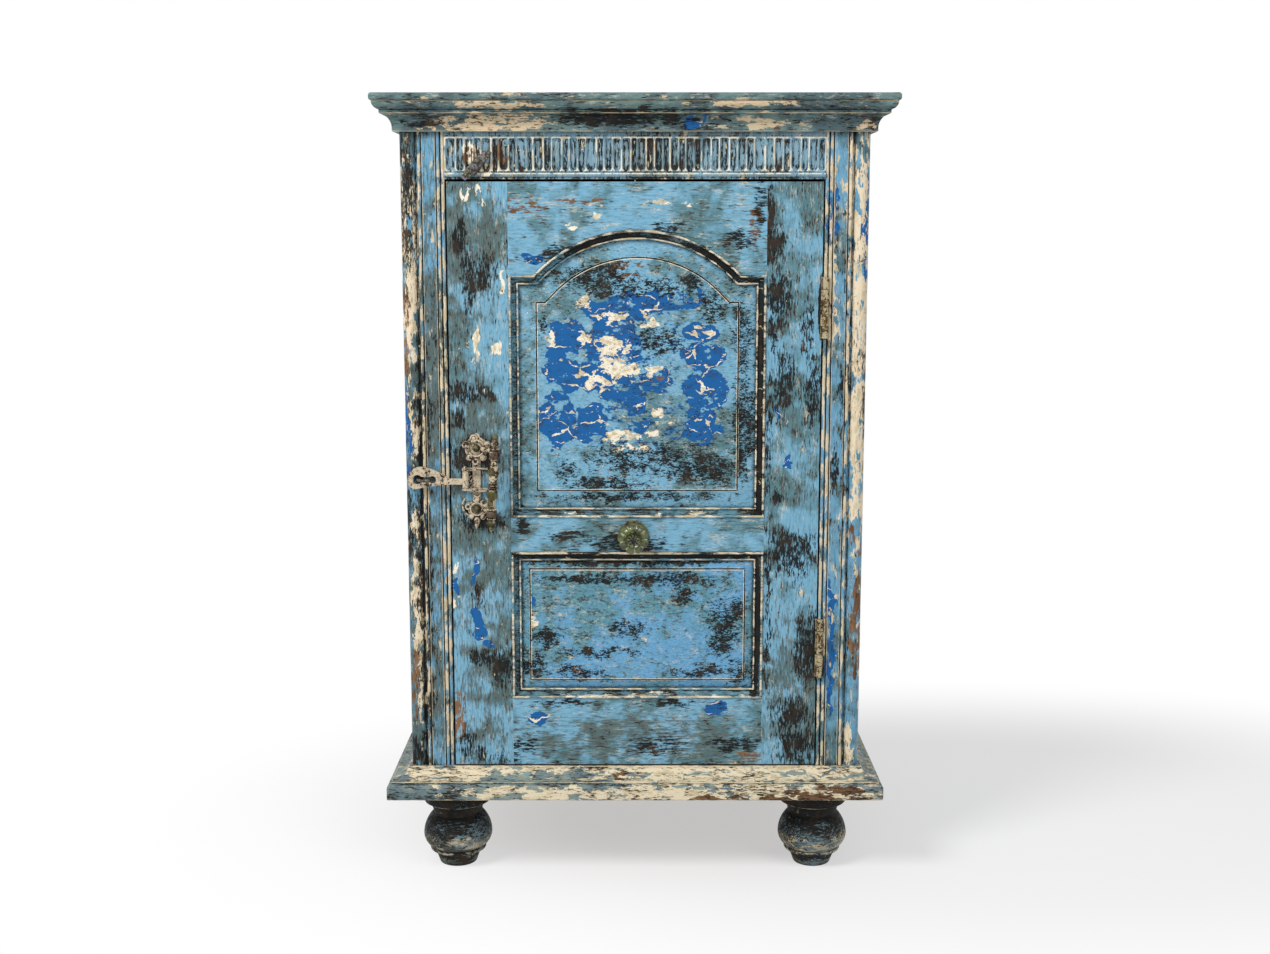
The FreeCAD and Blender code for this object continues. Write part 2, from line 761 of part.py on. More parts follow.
def make_frieze_rail():
    """Fluted rail above the door, with an astragal run along its lower edge."""
    height = top_low - opening_top
    bead = arc_radius(astragal_width, astragal_rise)
    body = doc.addObject("PartDesign::Body", "frieze_blank")
    rail = body.newObject("PartDesign::Pad", "frieze_pad")
    rail.Profile = outline(body, "frieze_section", "YZ_Plane", [
        (as_length(0), as_length(0)),
        (rail_thickness, as_length(0)),
        (rail_thickness, height),
        (as_length(0), height),
        (as_length(0), astragal_lift + astragal_width),
        (as_length(0), astragal_lift, bead, 1, False),
    ])
    bind(rail, Length=opening_half * 2)
    doc.recompute()
    pitch = opening_half * 2 / flute_pairs
    ridge = (pitch - wide_flute - narrow_flute) / 2
    wide = flute_groove(body, "wide_flute_groove", wide_flute, wide_flute_depth,
                        wide_flute / 2, ridge / 2)
    narrow = flute_groove(body, "narrow_flute_groove", narrow_flute, narrow_flute_depth,
                          narrow_flute / 2, ridge * 1.5 + wide_flute)
    doc.recompute()
    row = body.newObject("PartDesign::LinearPattern", "flute_row")
    row.Originals = [wide, narrow]
    row.Direction = (wide.Profile[0], ["N_Axis"])
    bind(row, Length=pitch * (flute_pairs - 1))
    row.Occurrences = flute_pairs
    body.Tip = row
    put(body, (-opening_half, front, opening_top))
    tenons = [tenon_across(f"frieze_tenon_{name}", side, opening_half, front, opening_top, top_low)
              for name, side in SIDES]
    tools = [rod(f"frieze_peg_hole_{name}", frieze_peg_radius + fixing_fit, frieze_peg_length,
                 (side * frieze_peg_spacing / 2, front, frieze_top - frieze_peg_drop), "y")
             for name, side in SIDES]
    tools.append(rod("button_screw_hole", button_screw_radius + fixing_fit, button_screw_length,
                     (-button_offset, front, button_height), "y"))
    sub_part("frieze_rail", cut("frieze_rail", fuse("frieze_tenoned", [body, *tenons]), tools))
    sub_part("frieze_pegs", group("frieze_pegs", [
        rod(f"frieze_peg_{name}", frieze_peg_radius, frieze_peg_length,
            (side * frieze_peg_spacing / 2, front, frieze_top - frieze_peg_drop), "y")
        for name, side in SIDES]))


button_height = opening_top + button_lift


def make_sill_rail():
    """Front rail under the door, behind the plinth moulding."""
    block = box("sill_blank", (-opening_half, front, base_top),
                (opening_half, front + rail_thickness, opening_low))
    tenons = [tenon_across(f"sill_tenon_{name}", side, opening_half, front, base_top, opening_low)
              for name, side in SIDES]
    sub_part("bottom_front_rail", fuse("bottom_front_rail", [block, *tenons]))


def make_rear_rail():
    half = half_width - rear_post_width
    low_y, low_z = boards_front - rail_thickness, top_low - rear_rail_height
    block = box("rear_rail_blank", (-half, low_y, low_z), (half, boards_front, top_low))
    tenons = [tenon_across(f"rear_rail_tenon_{name}", side, half, low_y, low_z, top_low)
              for name, side in SIDES]
    body = fuse("rear_rail_tenoned", [block, *tenons])
    holes = nails("rear_rail_nail_hole", rear_nail_heights[1:], fixing_fit)
    sub_part("rear_top_rail", cut("rear_top_rail", body, holes))


rear_nail_heights = (base_top - base_thickness / 2, top_low - rear_rail_height / 2)
back_half = half_width - rear_post_width + back_rebate


def nails(name, heights, fit):
    """Back nails at both edges and the middle of each half, driven from behind."""
    made = []
    for level, z in enumerate(heights):
        for index, x in enumerate((-back_half + nail_inset, -nail_inset, nail_inset,
                                   back_half - nail_inset)):
            shank = rod(f"{name}_{level}_{index}_shank", nail_radius + fit, nail_length,
                        (x, back, z), "-y")
            head = rod(f"{name}_{level}_{index}_head", nail_head_radius + fit, nail_head_thickness,
                       (x, back, z), "-y")
            made.append(fuse(f"{name}_{level}_{index}", [shank, head]))
    return made


def make_back():
    for name, side in SIDES:
        board = side_box(f"back_board_{name}_blank", side, back_board_gap / 2, back_half,
                         (boards_front, foot_height), (back, top_low))
        holes = nails(f"back_{name}_nail_hole", rear_nail_heights, fixing_fit)
        sub_part(f"back_board_{name}", cut(f"back_board_{name}", board, holes))
    sub_part("back_nails", group("back_nails", nails("back_nail", rear_nail_heights, 0)))


def foot_places():
    rows = (("front", front + foot_setback), ("rear", back - foot_setback))
    return [(f"foot_{row}_{name}", side * (half_width - foot_inset), y)
            for row, y in rows for name, side in SIDES]


def make_base_board():
    """Board under the whole carcass that takes the posts and the feet."""
    block = box("base_blank", (-half_width, front, foot_height), (half_width, back, base_top))
    tools = [rod(f"{name}_hole", spigot_radius + fixing_fit, spigot_length,
                 (x, y, foot_height), "z") for name, x, y in foot_places()]
    for name, side in SIDES:
        tools.append(front_foot_tenon(f"base_front_mortise_{name}", side))
        tools.append(rear_foot_tenon(f"base_rear_mortise_{name}", side))
    tools.append(box("base_board_notch", (-back_half, boards_front, foot_height),
                     (back_half, back, base_top)))
    tools += nails("base_nail_hole", rear_nail_heights[:1], fixing_fit)
    sub_part("base_board", cut("base_board", block, tools))


def make_feet():
    """Turned bun feet: base, ring, belly, neck, flange and spigot."""
    ring_top = foot_taper_height + foot_ring_height
    lower = foot_belly_height - ring_top
    lower_out = foot_belly_radius - foot_ring_radius
    upper = foot_neck_height - foot_belly_height
    upper_out = foot_belly_radius - foot_neck_radius
    cove = foot_flange_height - foot_neck_height
    corners = [
        (as_length(0), as_length(0)),
        (foot_base_radius - foot_base_edge, as_length(0)),
        (foot_base_radius, foot_base_edge, foot_base_edge, 1, False),
        (foot_taper_radius, foot_taper_height),
        (foot_ring_radius, foot_taper_height),
        (foot_ring_radius, ring_top, arc_radius(foot_ring_height, foot_ring_bulge), 1, False),
        (foot_belly_radius, foot_belly_height,
         (lower * lower + lower_out * lower_out) / (lower_out * 2), 1, False),
        (foot_neck_radius, foot_neck_height,
         (upper * upper + upper_out * upper_out) / (upper_out * 2), 1, False),
        (foot_flange_radius, foot_flange_height, cove, -1, False),
        (foot_flange_radius, foot_height),
        (spigot_radius, foot_height),
        (spigot_radius, foot_height + spigot_length),
        (as_length(0), foot_height + spigot_length),
    ]
    for name, x, y in foot_places():
        sub_part(name, turned(name, corners, (x, y, 0)))


def chord_arc(run, rise, bulge):
    """Radius of an arc from its chord, given as two legs, and its bulge."""
    return arc_radius(square_root(run * run + rise * rise), bulge)


def mitred_run(name, section, length, ends, reach, rise, at, turn):
    """A moulding along X whose face looks towards -Y, mitred at the ends named.

    The section is (how far it stands out, height); a mitred end runs on past
    the corner by as much as the moulding stands out.
    """
    start = -reach if "start" in ends else as_length(0)
    finish = length + reach if "end" in ends else length
    blank = pad(f"{name}_run", "YZ_Plane", [(-out, z, *arc) for out, z, *arc in section],
                finish - start, (start, 0, 0))
    tools = []
    for end in ends:
        corner, sign = (as_length(0), -1) if end == "start" else (length, 1)
        tip = corner + sign * reach * 2
        wedge = [(corner, as_length(0)), (tip, as_length(0)), (tip, -reach * 2)]
        tools.append(pad(f"{name}_{end}_mitre", "XY_Plane", wedge, rise, (0, 0, 0)))
    run = cut(f"{name}_mitred", blank, tools)
    placed = doc.addObject("Part::Compound", name)
    placed.Links = [run]
    return put(placed, at, turn)


def make_run_round(label, section, reach, low, rise):
    """Front and side runs of one moulding, mitred at the two front corners."""
    half_turn = Rotation(Vector(0, 0, 1), 90)
    other_turn = Rotation(Vector(0, 0, 1), -90)
    sub_part(f"{label}_front", mitred_run(
        f"{label}_front", section, body_width, ("start", "end"), reach, rise,
        (-half_width, front, low), Rotation()))
    sub_part(f"{label}_right", mitred_run(
        f"{label}_right", section, body_depth, ("start",), reach, rise,
        (half_width, front, low), half_turn))
    sub_part(f"{label}_left", mitred_run(
        f"{label}_left", section, body_depth, ("end",), reach, rise,
        (-half_width, back, low), other_turn))


def make_cornice():
    """Bead, cove, fillet and ovolo under the top board."""
    cove_rise = cornice_height - cornice_fillet_low - cornice_bead
    cove_run = cornice_cove_out - cornice_cove_foot
    cove = (cove_rise * cove_rise + cove_run * cove_run) / (cove_run * 2)
    ovolo = chord_arc(cornice_ovolo_out - cornice_fillet_out, cornice_ovolo_low,
                      cornice_ovolo_bulge)
    section = [
        (as_length(0), as_length(0)),
        (as_length(0), cornice_height),
        (cornice_ovolo_out, cornice_height),
        (cornice_fillet_out, cornice_height - cornice_ovolo_low, ovolo, 1, False),
        (cornice_fillet_out, cornice_height - cornice_fillet_low),
        (cornice_cove_out, cornice_height - cornice_fillet_low),
        (cornice_cove_foot, cornice_bead, cove, -1, False),
        (cornice_cove_foot, as_length(0)),
    ]
    make_run_round("cornice", section, cornice_ovolo_out, frieze_top, cornice_height)


def make_plinth():
    """Fillet, cove, step and half-round foot of the plinth moulding."""
    step_height = plinth_torus + plinth_step
    cove_rise = plinth_height - plinth_fillet - step_height
    cove_run = plinth_cove_out - plinth_top_out
    cove = chord_arc(cove_run, cove_rise, plinth_cove_sink)
    shoulder = plinth_out - plinth_step_out
    section = [
        (as_length(0), as_length(0)),
        (as_length(0), plinth_height),
        (plinth_top_out, plinth_height),
        (plinth_top_out, plinth_height - plinth_fillet),
        (plinth_cove_out, step_height, cove, -1, False),
        (plinth_step_out, step_height),
        (plinth_step_out, plinth_torus),
        (plinth_out, plinth_torus - shoulder, shoulder, 1, False),
        (plinth_out, plinth_edge),
        (plinth_out - plinth_edge, as_length(0), plinth_edge, 1, False),
    ]
    make_run_round("plinth", section, plinth_out, foot_height, plinth_height)


def make_top_board():
    body = doc.addObject("PartDesign::Body", "top_board")
    slab = body.newObject("PartDesign::Pad", "top_board_pad")
    half = half_width + top_overhang
    slab.Profile = outline(body, "top_board_outline", "XY_Plane", [
        (-half, -top_overhang),
        (half, -top_overhang),
        (half, body_depth),
        (-half, body_depth),
    ])
    bind(slab, Length=top_thickness)
    doc.recompute()
    rounded = []
    for index, edge in enumerate(slab.Shape.Edges, 1):
        middle = edge.CenterOfMass
        level = abs(edge.Vertexes[0].Z - edge.Vertexes[1].Z) < 1e-6
        if level and middle.y < number(body_depth) - 1e-6:
            rounded.append(f"Edge{index}")
    fillet = body.newObject("PartDesign::Fillet", "top_board_edge")
    fillet.Base = (slab, rounded)
    bind(fillet, Radius=top_edge_radius)
    sub_part("top_board", put(body, (0, front, top_low)))


def make_shelf():
    """A shelf that lies on two battens between the posts."""
    side = half_width - side_panel_setback - side_panel_thickness
    low = shelf_height - shelf_thickness
    sub_part("shelf", box(
        "shelf", (-side + shelf_gap, post_rear + shelf_gap, low),
        (side - shelf_gap, rear_post_front - shelf_gap, shelf_height)))
    sub_part("shelf_battens", group("shelf_battens", [
        side_box(f"batten_{name}", sign, side - batten_width, side,
                 (post_rear, low - batten_height), (rear_post_front, low))
        for name, sign in SIDES]))


def make_door_stop():
    """Strip on the latch side that the door closes against."""
    sub_part("door_stop", side_box(
        "door_stop", -1, opening_half - stop_width, opening_half,
        (door_back + stop_gap, opening_low), (door_back + stop_gap + stop_width, opening_top)))


# Places in the door
panel_left = -door_half + left_stile_width
panel_right = door_half - right_stile_width
panel_middle = (panel_left + panel_right) / 2
panel_half = (panel_right - panel_left) / 2
lower_low = door_low + bottom_rail_height
lower_high = lower_low + lower_panel_height
upper_low = lower_high + middle_rail_height
knob_height = lower_high + middle_rail_height / 2 - knob_drop
shoulder_height = upper_low + upper_panel_height
arch_half = panel_half - shoulder_width
arch_radius_outer = (arch_half * arch_half + arch_rise * arch_rise) / (arch_rise * 2)
arch_centre = shoulder_height + arch_rise - arch_radius_outer


def arch_spring(inset):
    """Half the width of the arch where it meets the shoulders, this far inside."""
    radius = arch_radius_outer - inset
    rise = shoulder_height - inset - arch_centre
    return square_root(radius * radius - rise * rise)


def arched_corners(inset):
    """The upper panel's outline, this far inside the opening in the door frame."""
    half, shoulder = panel_half - inset, shoulder_height - inset
    spring = arch_spring(inset)
    return [
        (-half, upper_low + inset),
        (half, upper_low + inset),
        (half, shoulder),
        (spring, shoulder),
        (-spring, shoulder, arch_radius_outer - inset, 1, False),
        (-half, shoulder),
    ]


def plain_corners(inset):
    half = panel_half - inset
    return [
        (-half, lower_low + inset),
        (half, lower_low + inset),
        (half, lower_high - inset),
        (-half, lower_high - inset),
    ]


def groove_tool(name, corners):
    """What the stiles and rails lose to the edge of a panel."""
    return pad(name, "XZ_Plane", corners(-groove_depth), panel_thickness,
               (panel_middle, front + panel_setback + panel_thickness, 0))


def make_panel(label, corners, margin):
    """Raised and fielded panel: tongue, sloping margin and a stepped field."""
    body = doc.addObject("PartDesign::Body", label)
    tongue = body.newObject("PartDesign::Pad", f"{label}_tongue")
    tongue.Profile = outline(body, f"{label}_edge", "XZ_Plane", corners(-(groove_depth - panel_float)))
    bind(tongue, Length=panel_thickness)
    foot = outline(body, f"{label}_foot", "XZ_Plane", corners(moulding_width), lift=panel_thickness)
    field = outline(body, f"{label}_field", "XZ_Plane", corners(moulding_width + margin),
                    lift=panel_thickness + bevel_rise)
    bevel = body.newObject("PartDesign::AdditiveLoft", f"{label}_bevel")
    bevel.Profile = foot
    bevel.Sections = [field]
    bevel.Ruled = True
    step = body.newObject("PartDesign::Pad", f"{label}_step")
    step.Profile = outline(body, f"{label}_step_outline", "XZ_Plane",
                           corners(moulding_width + margin), lift=panel_thickness + bevel_rise)
    bind(step, Length=field_step)
    body.Tip = step
    put(body, (panel_middle, front + panel_setback + panel_thickness, 0))
    sub_part(label, body)


def door_tenon(name, side, low, high):
    edge = panel_left if side < 0 else panel_right
    start, end = (edge - door_tenon_length, edge) if side < 0 else (edge, edge + door_tenon_length)
    return box(name, (start, front + door_tenon_setback, low + door_tenon_shoulder),
               (end, front + door_tenon_setback + door_tenon_thickness, high - door_tenon_shoulder))


DOOR_RAILS = (
    ("bottom", door_low, lower_low),
    ("middle", lower_high, upper_low),
    ("top", shoulder_height, door_top),
)


def door_pegs(name, rails, sides, radius):
    """Pegs through the tenons, driven from the back and stopped short of the face."""
    made = []
    for rail, low, high in rails:
        for side_name, side in sides:
            edge = panel_left - peg_inset if side < 0 else panel_right + peg_inset
            made.append(rod(f"{name}_{rail}_{side_name}", radius, peg_length,
                            (edge, door_back, (low + high) / 2), "-y"))
    return made


def make_stile(label, name, side, low_x, high_x):
    block = box(f"{label}_blank", (low_x, front, door_low), (high_x, door_back, door_top))
    tools = [groove_tool(f"{label}_upper_groove", arched_corners),
             groove_tool(f"{label}_lower_groove", plain_corners)]
    tools += [door_tenon(f"{label}_{rail}_mortise", side, low, high)
              for rail, low, high in DOOR_RAILS]
    tools += door_pegs(f"{label}_peg_hole", DOOR_RAILS, ((name, side),), peg_radius + fixing_fit)
    if side > 0:
        for hinge, height in HINGES:
            tools.append(box(
                f"{hinge}_door_leaf_recess",
                (door_half - leaf_let_in, front, height - hinge_height / 2),
                (door_half, door_back, height + hinge_height / 2)))
            tools += screw_shanks(f"{hinge}_door_screw_hole", height, -1, fixing_fit)
    else:
        tools += dome_shanks("stile_dome_hole", fixing_fit)
    sub_part(label, cut(label, block, tools))


def make_door_rail(label, rail, blank, low, high, tools):
    tenons = [door_tenon(f"{label}_tenon_{name}", side, low, high) for name, side in SIDES]
    body = fuse(f"{label}_tenoned", [blank, *tenons])
    holes = door_pegs(f"{label}_peg_hole", ((rail, low, high),), SIDES, peg_radius + fixing_fit)
    sub_part(label, cut(label, body, [*tools, *holes]))


def make_door_frame():
    make_stile("door_stile_left", "left", -1, -door_half, panel_left)
    make_stile("door_stile_right", "right", 1, panel_right, door_half)
    for rail, low, high in DOOR_RAILS[:2]:
        label = f"door_{rail}_rail"
        blank = box(f"{label}_blank", (panel_left, front, low), (panel_right, door_back, high))
        tools = [groove_tool(f"{label}_lower_groove", plain_corners)]
        if rail == "middle":
            tools.append(groove_tool(f"{label}_upper_groove", arched_corners))
            tools.append(rod("knob_bolt_hole", bolt_radius + fixing_fit, door_thickness,
                             (-knob_offset, front, knob_height), "y"))
        make_door_rail(label, rail, blank, low, high, tools)
    arched = pad("door_top_rail_blank", "XZ_Plane", [
        (-panel_half, shoulder_height),
        (-arch_half, shoulder_height),
        (arch_half, shoulder_height, arch_radius_outer, -1, False),
        (panel_half, shoulder_height),
        (panel_half, door_top),
        (-panel_half, door_top),
    ], door_thickness, (panel_middle, door_back, 0))
    make_door_rail("door_top_rail", "top", arched, shoulder_height, door_top,
                   [groove_tool("door_top_rail_groove", arched_corners)])
    sub_part("door_pegs", group("door_pegs", door_pegs("door_peg", DOOR_RAILS, SIDES, peg_radius)))


def moulding_corners():
    """Section of a panel moulding as (distance from the frame, depth behind the face)."""
    outer = arc_radius(outer_bead_width, outer_bead_crown)
    inner = arc_radius(inner_bead_width, inner_bead_crown)
    cove_end = moulding_width - inner_bead_width
    crest = outer_bead_crown - outer_bead_proud
    cove = chord_arc(cove_end - outer_bead_width, inner_bead_drop - cove_start, cove_sink)
    return [
        (as_length(0), panel_setback),
        (as_length(0), crest),
        (outer_bead_width, crest, outer, 1, False),
        (outer_bead_width, cove_start),
        (cove_end, inner_bead_drop, cove, -1, False),
        (moulding_width, inner_bead_drop, inner, 1, False),
        (moulding_width, panel_setback),
    ]


def straight_moulding(name, length, start_mitre, end_mitre, at, turn):
    """A straight moulding along Z, each end cut back by its mitre at the inner edge."""
    run = pad(f"{name}_run", "XY_Plane", moulding_corners(), length, (0, 0, 0))
    region = pad(f"{name}_region", "XZ_Plane", [
        (as_length(0), as_length(0)),
        (moulding_width, start_mitre),
        (moulding_width, length - end_mitre),
        (as_length(0), length),
    ], panel_setback + outer_bead_proud * 2, (0, panel_setback, 0))
    cut_run = common(f"{name}_mitred", run, region)
    placed = doc.addObject("Part::Compound", name)
    placed.Links = [cut_run]
    return put(placed, at, Rotation(Vector(0, 1, 0), turn))


def arch_moulding(name, side):
    """Half of the arch's moulding, from the crown to the shoulder, cut from a longer sweep."""
    sweep_spare = 1.1
    body = doc.addObject("PartDesign::Body", f"{name}_sweep")
    profile = outline(body, f"{name}_profile", "YZ_Plane",
                      [(depth, arch_radius_outer - inset, *([arc[0], -arc[1], arc[2]] if arc else []))
                       for inset, depth, *arc in moulding_corners()])
    sweep = body.newObject("PartDesign::Revolution", f"{name}_revolution")
    sweep.Profile = profile
    sweep.ReferenceAxis = (profile, ["H_Axis"])
    sweep.Midplane = True
    bind(sweep, Angle=arc_angle(arch_half, arch_radius_outer) * 2 * sweep_spare)
    inner_rise = shoulder_height - moulding_width - arch_centre
    outer_rise = shoulder_height - arch_centre
    top = arch_radius_outer + moulding_width
    region = pad(f"{name}_region", "XZ_Plane", [
        (as_length(0), as_length(0)),
        (side * arch_spring(moulding_width), inner_rise),
        (side * arch_half, outer_rise),
        (side * arch_half, top),
        (as_length(0), top),
    ], panel_setback + outer_bead_proud * 2, (0, panel_setback, 0))
    half = common(f"{name}_half", body, region)
    placed = doc.addObject("Part::Compound", name)
    placed.Links = [half]
    return put(placed, (panel_middle, front, arch_centre))


def make_mouldings():
    """Mitred mouldings planted in the corner between the door frame and its panels."""
    mitre = moulding_width
    shoulder_mitre = shoulder_width - panel_half + arch_spring(moulding_width)
    upper_side = shoulder_height - upper_low
    lower_side = lower_high - lower_low
    upper = [
        straight_moulding("upper_left", upper_side, mitre, mitre,
                          (panel_left, front, upper_low), 0),
        straight_moulding("upper_right", upper_side, mitre, mitre,
                          (panel_right, front, shoulder_height), 180),
        straight_moulding("upper_bottom", panel_half * 2, mitre, mitre,
                          (panel_right, front, upper_low), -90),
        straight_moulding("left_shoulder", shoulder_width, mitre, shoulder_mitre,
                          (panel_left, front, shoulder_height), 90),
        straight_moulding("right_shoulder", shoulder_width, shoulder_mitre, mitre,
                          (panel_right - shoulder_width, front, shoulder_height), 90),
        arch_moulding("left_arch", -1),
        arch_moulding("right_arch", 1),
    ]
    lower = [
        straight_moulding("lower_left", lower_side, mitre, mitre,
                          (panel_left, front, lower_low), 0),
        straight_moulding("lower_right", lower_side, mitre, mitre,
                          (panel_right, front, lower_high), 180),
        straight_moulding("lower_bottom", panel_half * 2, mitre, mitre,
                          (panel_right, front, lower_low), -90),
        straight_moulding("lower_top", panel_half * 2, mitre, mitre,
                          (panel_left, front, lower_high), 90),
    ]
    sub_part("upper_panel_moulding", group("upper_panel_moulding", upper))
    sub_part("lower_panel_moulding", group("lower_panel_moulding", lower))


def knuckle_levels(height, steps):
    """Lowest and highest point of each of these knuckles, counted from the bottom."""
    fifth = hinge_height / 5
    low = height - hinge_height / 2
    return [(low + fifth * step + knuckle_gap / 2, low + fifth * (step + 1) - knuckle_gap / 2)
            for step in steps]


def hinge_leaf(name, height, steps, leaf, tab, direction):
    """One leaf of a butt hinge with its knuckles, bored for the pin and the screws."""
    pieces = [leaf]
    for index, (low, high) in enumerate(knuckle_levels(height, steps)):
        pieces.append(rod(f"{name}_knuckle_{index}", knuckle_radius, high - low,
                          (pin_x, pin_y, low), "z"))
        tab_low, tab_high = tab
        pieces.append(box(f"{name}_tab_{index}", (*tab_low, low), (*tab_high, high)))
    tools = [rod(f"{name}_bore", pin_radius + pin_fit, hinge_height,
                 (pin_x, pin_y, height - hinge_height / 2), "z")]
    tools += screw_shanks(f"{name}_hole", height, direction, fixing_fit)
    tools += screw_heads(f"{name}_sink", height, direction, fixing_fit)
    return cut(name, fuse(f"{name}_blank", pieces), tools)


def make_hinges():
    frame_leaves, door_leaves, pins = [], [], []
    for name, height in HINGES:
        low, high = height - hinge_height / 2, height + hinge_height / 2
        frame_leaf = box(f"{name}_frame_leaf_plate",
                         (opening_half, front + hinge_notch_depth, low),
                         (opening_half + leaf_thickness, leaf_back, high))
        frame_tab = ((opening_half, pin_y), (opening_half + leaf_thickness,
                                             front + hinge_notch_depth))
        frame_leaves.append(hinge_leaf(f"{name}_frame_leaf", height, (0, 2, 4), frame_leaf,
                                       frame_tab, 1))
        leaf_face = door_half + leaf_thickness - leaf_let_in
        door_leaf = box(f"{name}_door_leaf_plate", (door_half - leaf_let_in, front, low),
                        (leaf_face, leaf_back, high))
        door_tab = ((door_half - leaf_let_in, pin_y - knuckle_radius / 4),
                    (opening_half - knuckle_gap, front))
        door_leaves.append(hinge_leaf(f"{name}_door_leaf", height, (1, 3), door_leaf,
                                      door_tab, -1))
        pins.append(rod(f"{name}_pin", pin_radius, hinge_height, (pin_x, pin_y, low), "z"))
    sub_part("hinge_leaves_frame", group("hinge_leaves_frame", frame_leaves))
    sub_part("hinge_leaves_door", group("hinge_leaves_door", door_leaves))
    sub_part("hinge_pins", group("hinge_pins", pins))
    for label, direction in (("hinge_screws_frame", 1), ("hinge_screws_door", -1)):
        screws = []
        for name, height in HINGES:
            shanks = screw_shanks(f"{label}_{name}_shank", height, direction, 0)
            heads = screw_heads(f"{label}_{name}_head", height, direction, 0)
            screws += [fuse(f"{label}_{name}_{index}", list(pair))
                       for index, pair in enumerate(zip(shanks, heads))]
        sub_part(label, group(label, screws))


def make_knob():
    """Lobed ceramic knob on a metal rosette, held by a bolt and nut through the rail."""
    x, z = -knob_offset, knob_height
    rosette = rod("rosette_disc", rosette_radius, rosette_thickness, (x, front, z), "-y")
    bore = bolt_radius + fixing_fit
    sub_part("knob_rosette", cut("knob_rosette", rosette, [
        rod("rosette_hole", bore, rosette_thickness, (x, front, z), "-y")]))
    face = front - knob_reach
    seat = face + bolt_head_height
    ball_y = face + knob_lobe_radius
    lobes = []
    for index in range(knob_lobes):
        angle = 2 * math.pi * index / knob_lobes
        lobe = doc.addObject("Part::Sphere", f"knob_lobe_{index}")
        bind(lobe, Radius=knob_lobe_radius)
        lobes.append(put(lobe, (x + knob_lobe_ring * math.cos(angle), ball_y,
                                z + knob_lobe_ring * math.sin(angle))))
    neck_start = front - rosette_thickness
    neck = rod("knob_neck", knob_neck_radius, neck_start - ball_y, (x, neck_start, z), "-y")
    sub_part("ceramic_knob", cut("ceramic_knob", fuse("knob_blank", [*lobes, neck]), [
        rod("knob_bore", bore, knob_reach, (x, front, z), "-y"),
        rod("knob_recess", bolt_head_radius + fixing_fit, bolt_head_height, (x, seat, z), "-y"),
    ]))
    bolt = fuse("knob_bolt", [
        rod("bolt_shank", bolt_radius, door_back + bolt_tail - seat, (x, seat, z), "y"),
        rod("bolt_head", bolt_head_radius, bolt_head_height, (x, seat, z), "-y"),
    ])
    sub_part("knob_bolt", bolt)
    nut = box("nut_block", (x - nut_width / 2, door_back, z - nut_width / 2),
              (x + nut_width / 2, door_back + nut_thickness, z + nut_width / 2))
    sub_part("knob_nut", cut("knob_nut", nut, [
        rod("nut_bore", bore, nut_thickness, (x, door_back, z), "y")]))


def make_turn_button():
    """Tapered bar on a boss, turning on one screw in the frieze."""
    half, tip = button_width / 2, button_tip_width / 2
    corners = [
        (-tip, -button_lower_arm),
        (tip, -button_lower_arm),
        (half, -button_lower_arm + button_tip_length),
        (half, button_upper_arm - button_tip_length),
        (tip, button_upper_arm),
        (-tip, button_upper_arm),
        (-half, button_upper_arm - button_tip_length),
        (-half, -button_lower_arm + button_tip_length),
    ]
    at = (-button_offset, front - button_boss_height, button_height)
    bar = pad("button_bar", "XZ_Plane", corners, button_thickness, at, Rotation(Vector(0, 1, 0), 1))
    bar.setExpression("Placement.Rotation.Angle", written(button_tilt))
    base = (-button_offset, front, button_height)
    boss = rod("button_boss", button_boss_radius, button_boss_height, base, "-y")
    reach = button_boss_height + button_thickness
    sub_part("turn_button", cut("turn_button", fuse("button_blank", [bar, boss]), [
        rod("button_bore", button_screw_radius + turning_fit, reach, base, "-y")]))
    head_at = (-button_offset, front - reach, button_height)
    sub_part("turn_button_screw", fuse("turn_button_screw", [
        dome("button_screw_dome", button_screw_head, head_at, "-y"),
        rod("button_screw_shank", button_screw_radius, reach + button_screw_length, head_at, "y"),
    ]))


def rose(name, height, radius):
    """A round plate with small lobes round its edge."""
    pieces = [rod(f"{name}_disc", radius, plate_thickness, (-latch_offset, front, height), "-y")]
    for degrees in lobe_angles:
        angle = math.radians(degrees)
        pieces.append(rod(
            f"{name}_lobe_{degrees}", lobe_radius, plate_thickness,
            (-latch_offset + radius * math.cos(angle), front,
             height + radius * math.sin(angle)), "-y"))
    return pieces


upper_rose_height = hasp_height + upper_rose_lift
lower_rose_height = hasp_height - lower_rose_drop
ROSES = (("upper", upper_rose_height, upper_rose_radius),
         ("lower", lower_rose_height, lower_rose_radius))


def dome_shanks(name, fit):
    return [rod(f"{name}_{rose_name}", dome_shank_radius + fit,
                dome_shank_length, (-latch_offset, front - plate_thickness, height), "y")
            for rose_name, height, _ in ROSES]


hasp_low = hasp_height - hasp_knuckle_height / 2
hasp_pivot_y = front - hasp_pivot_proud


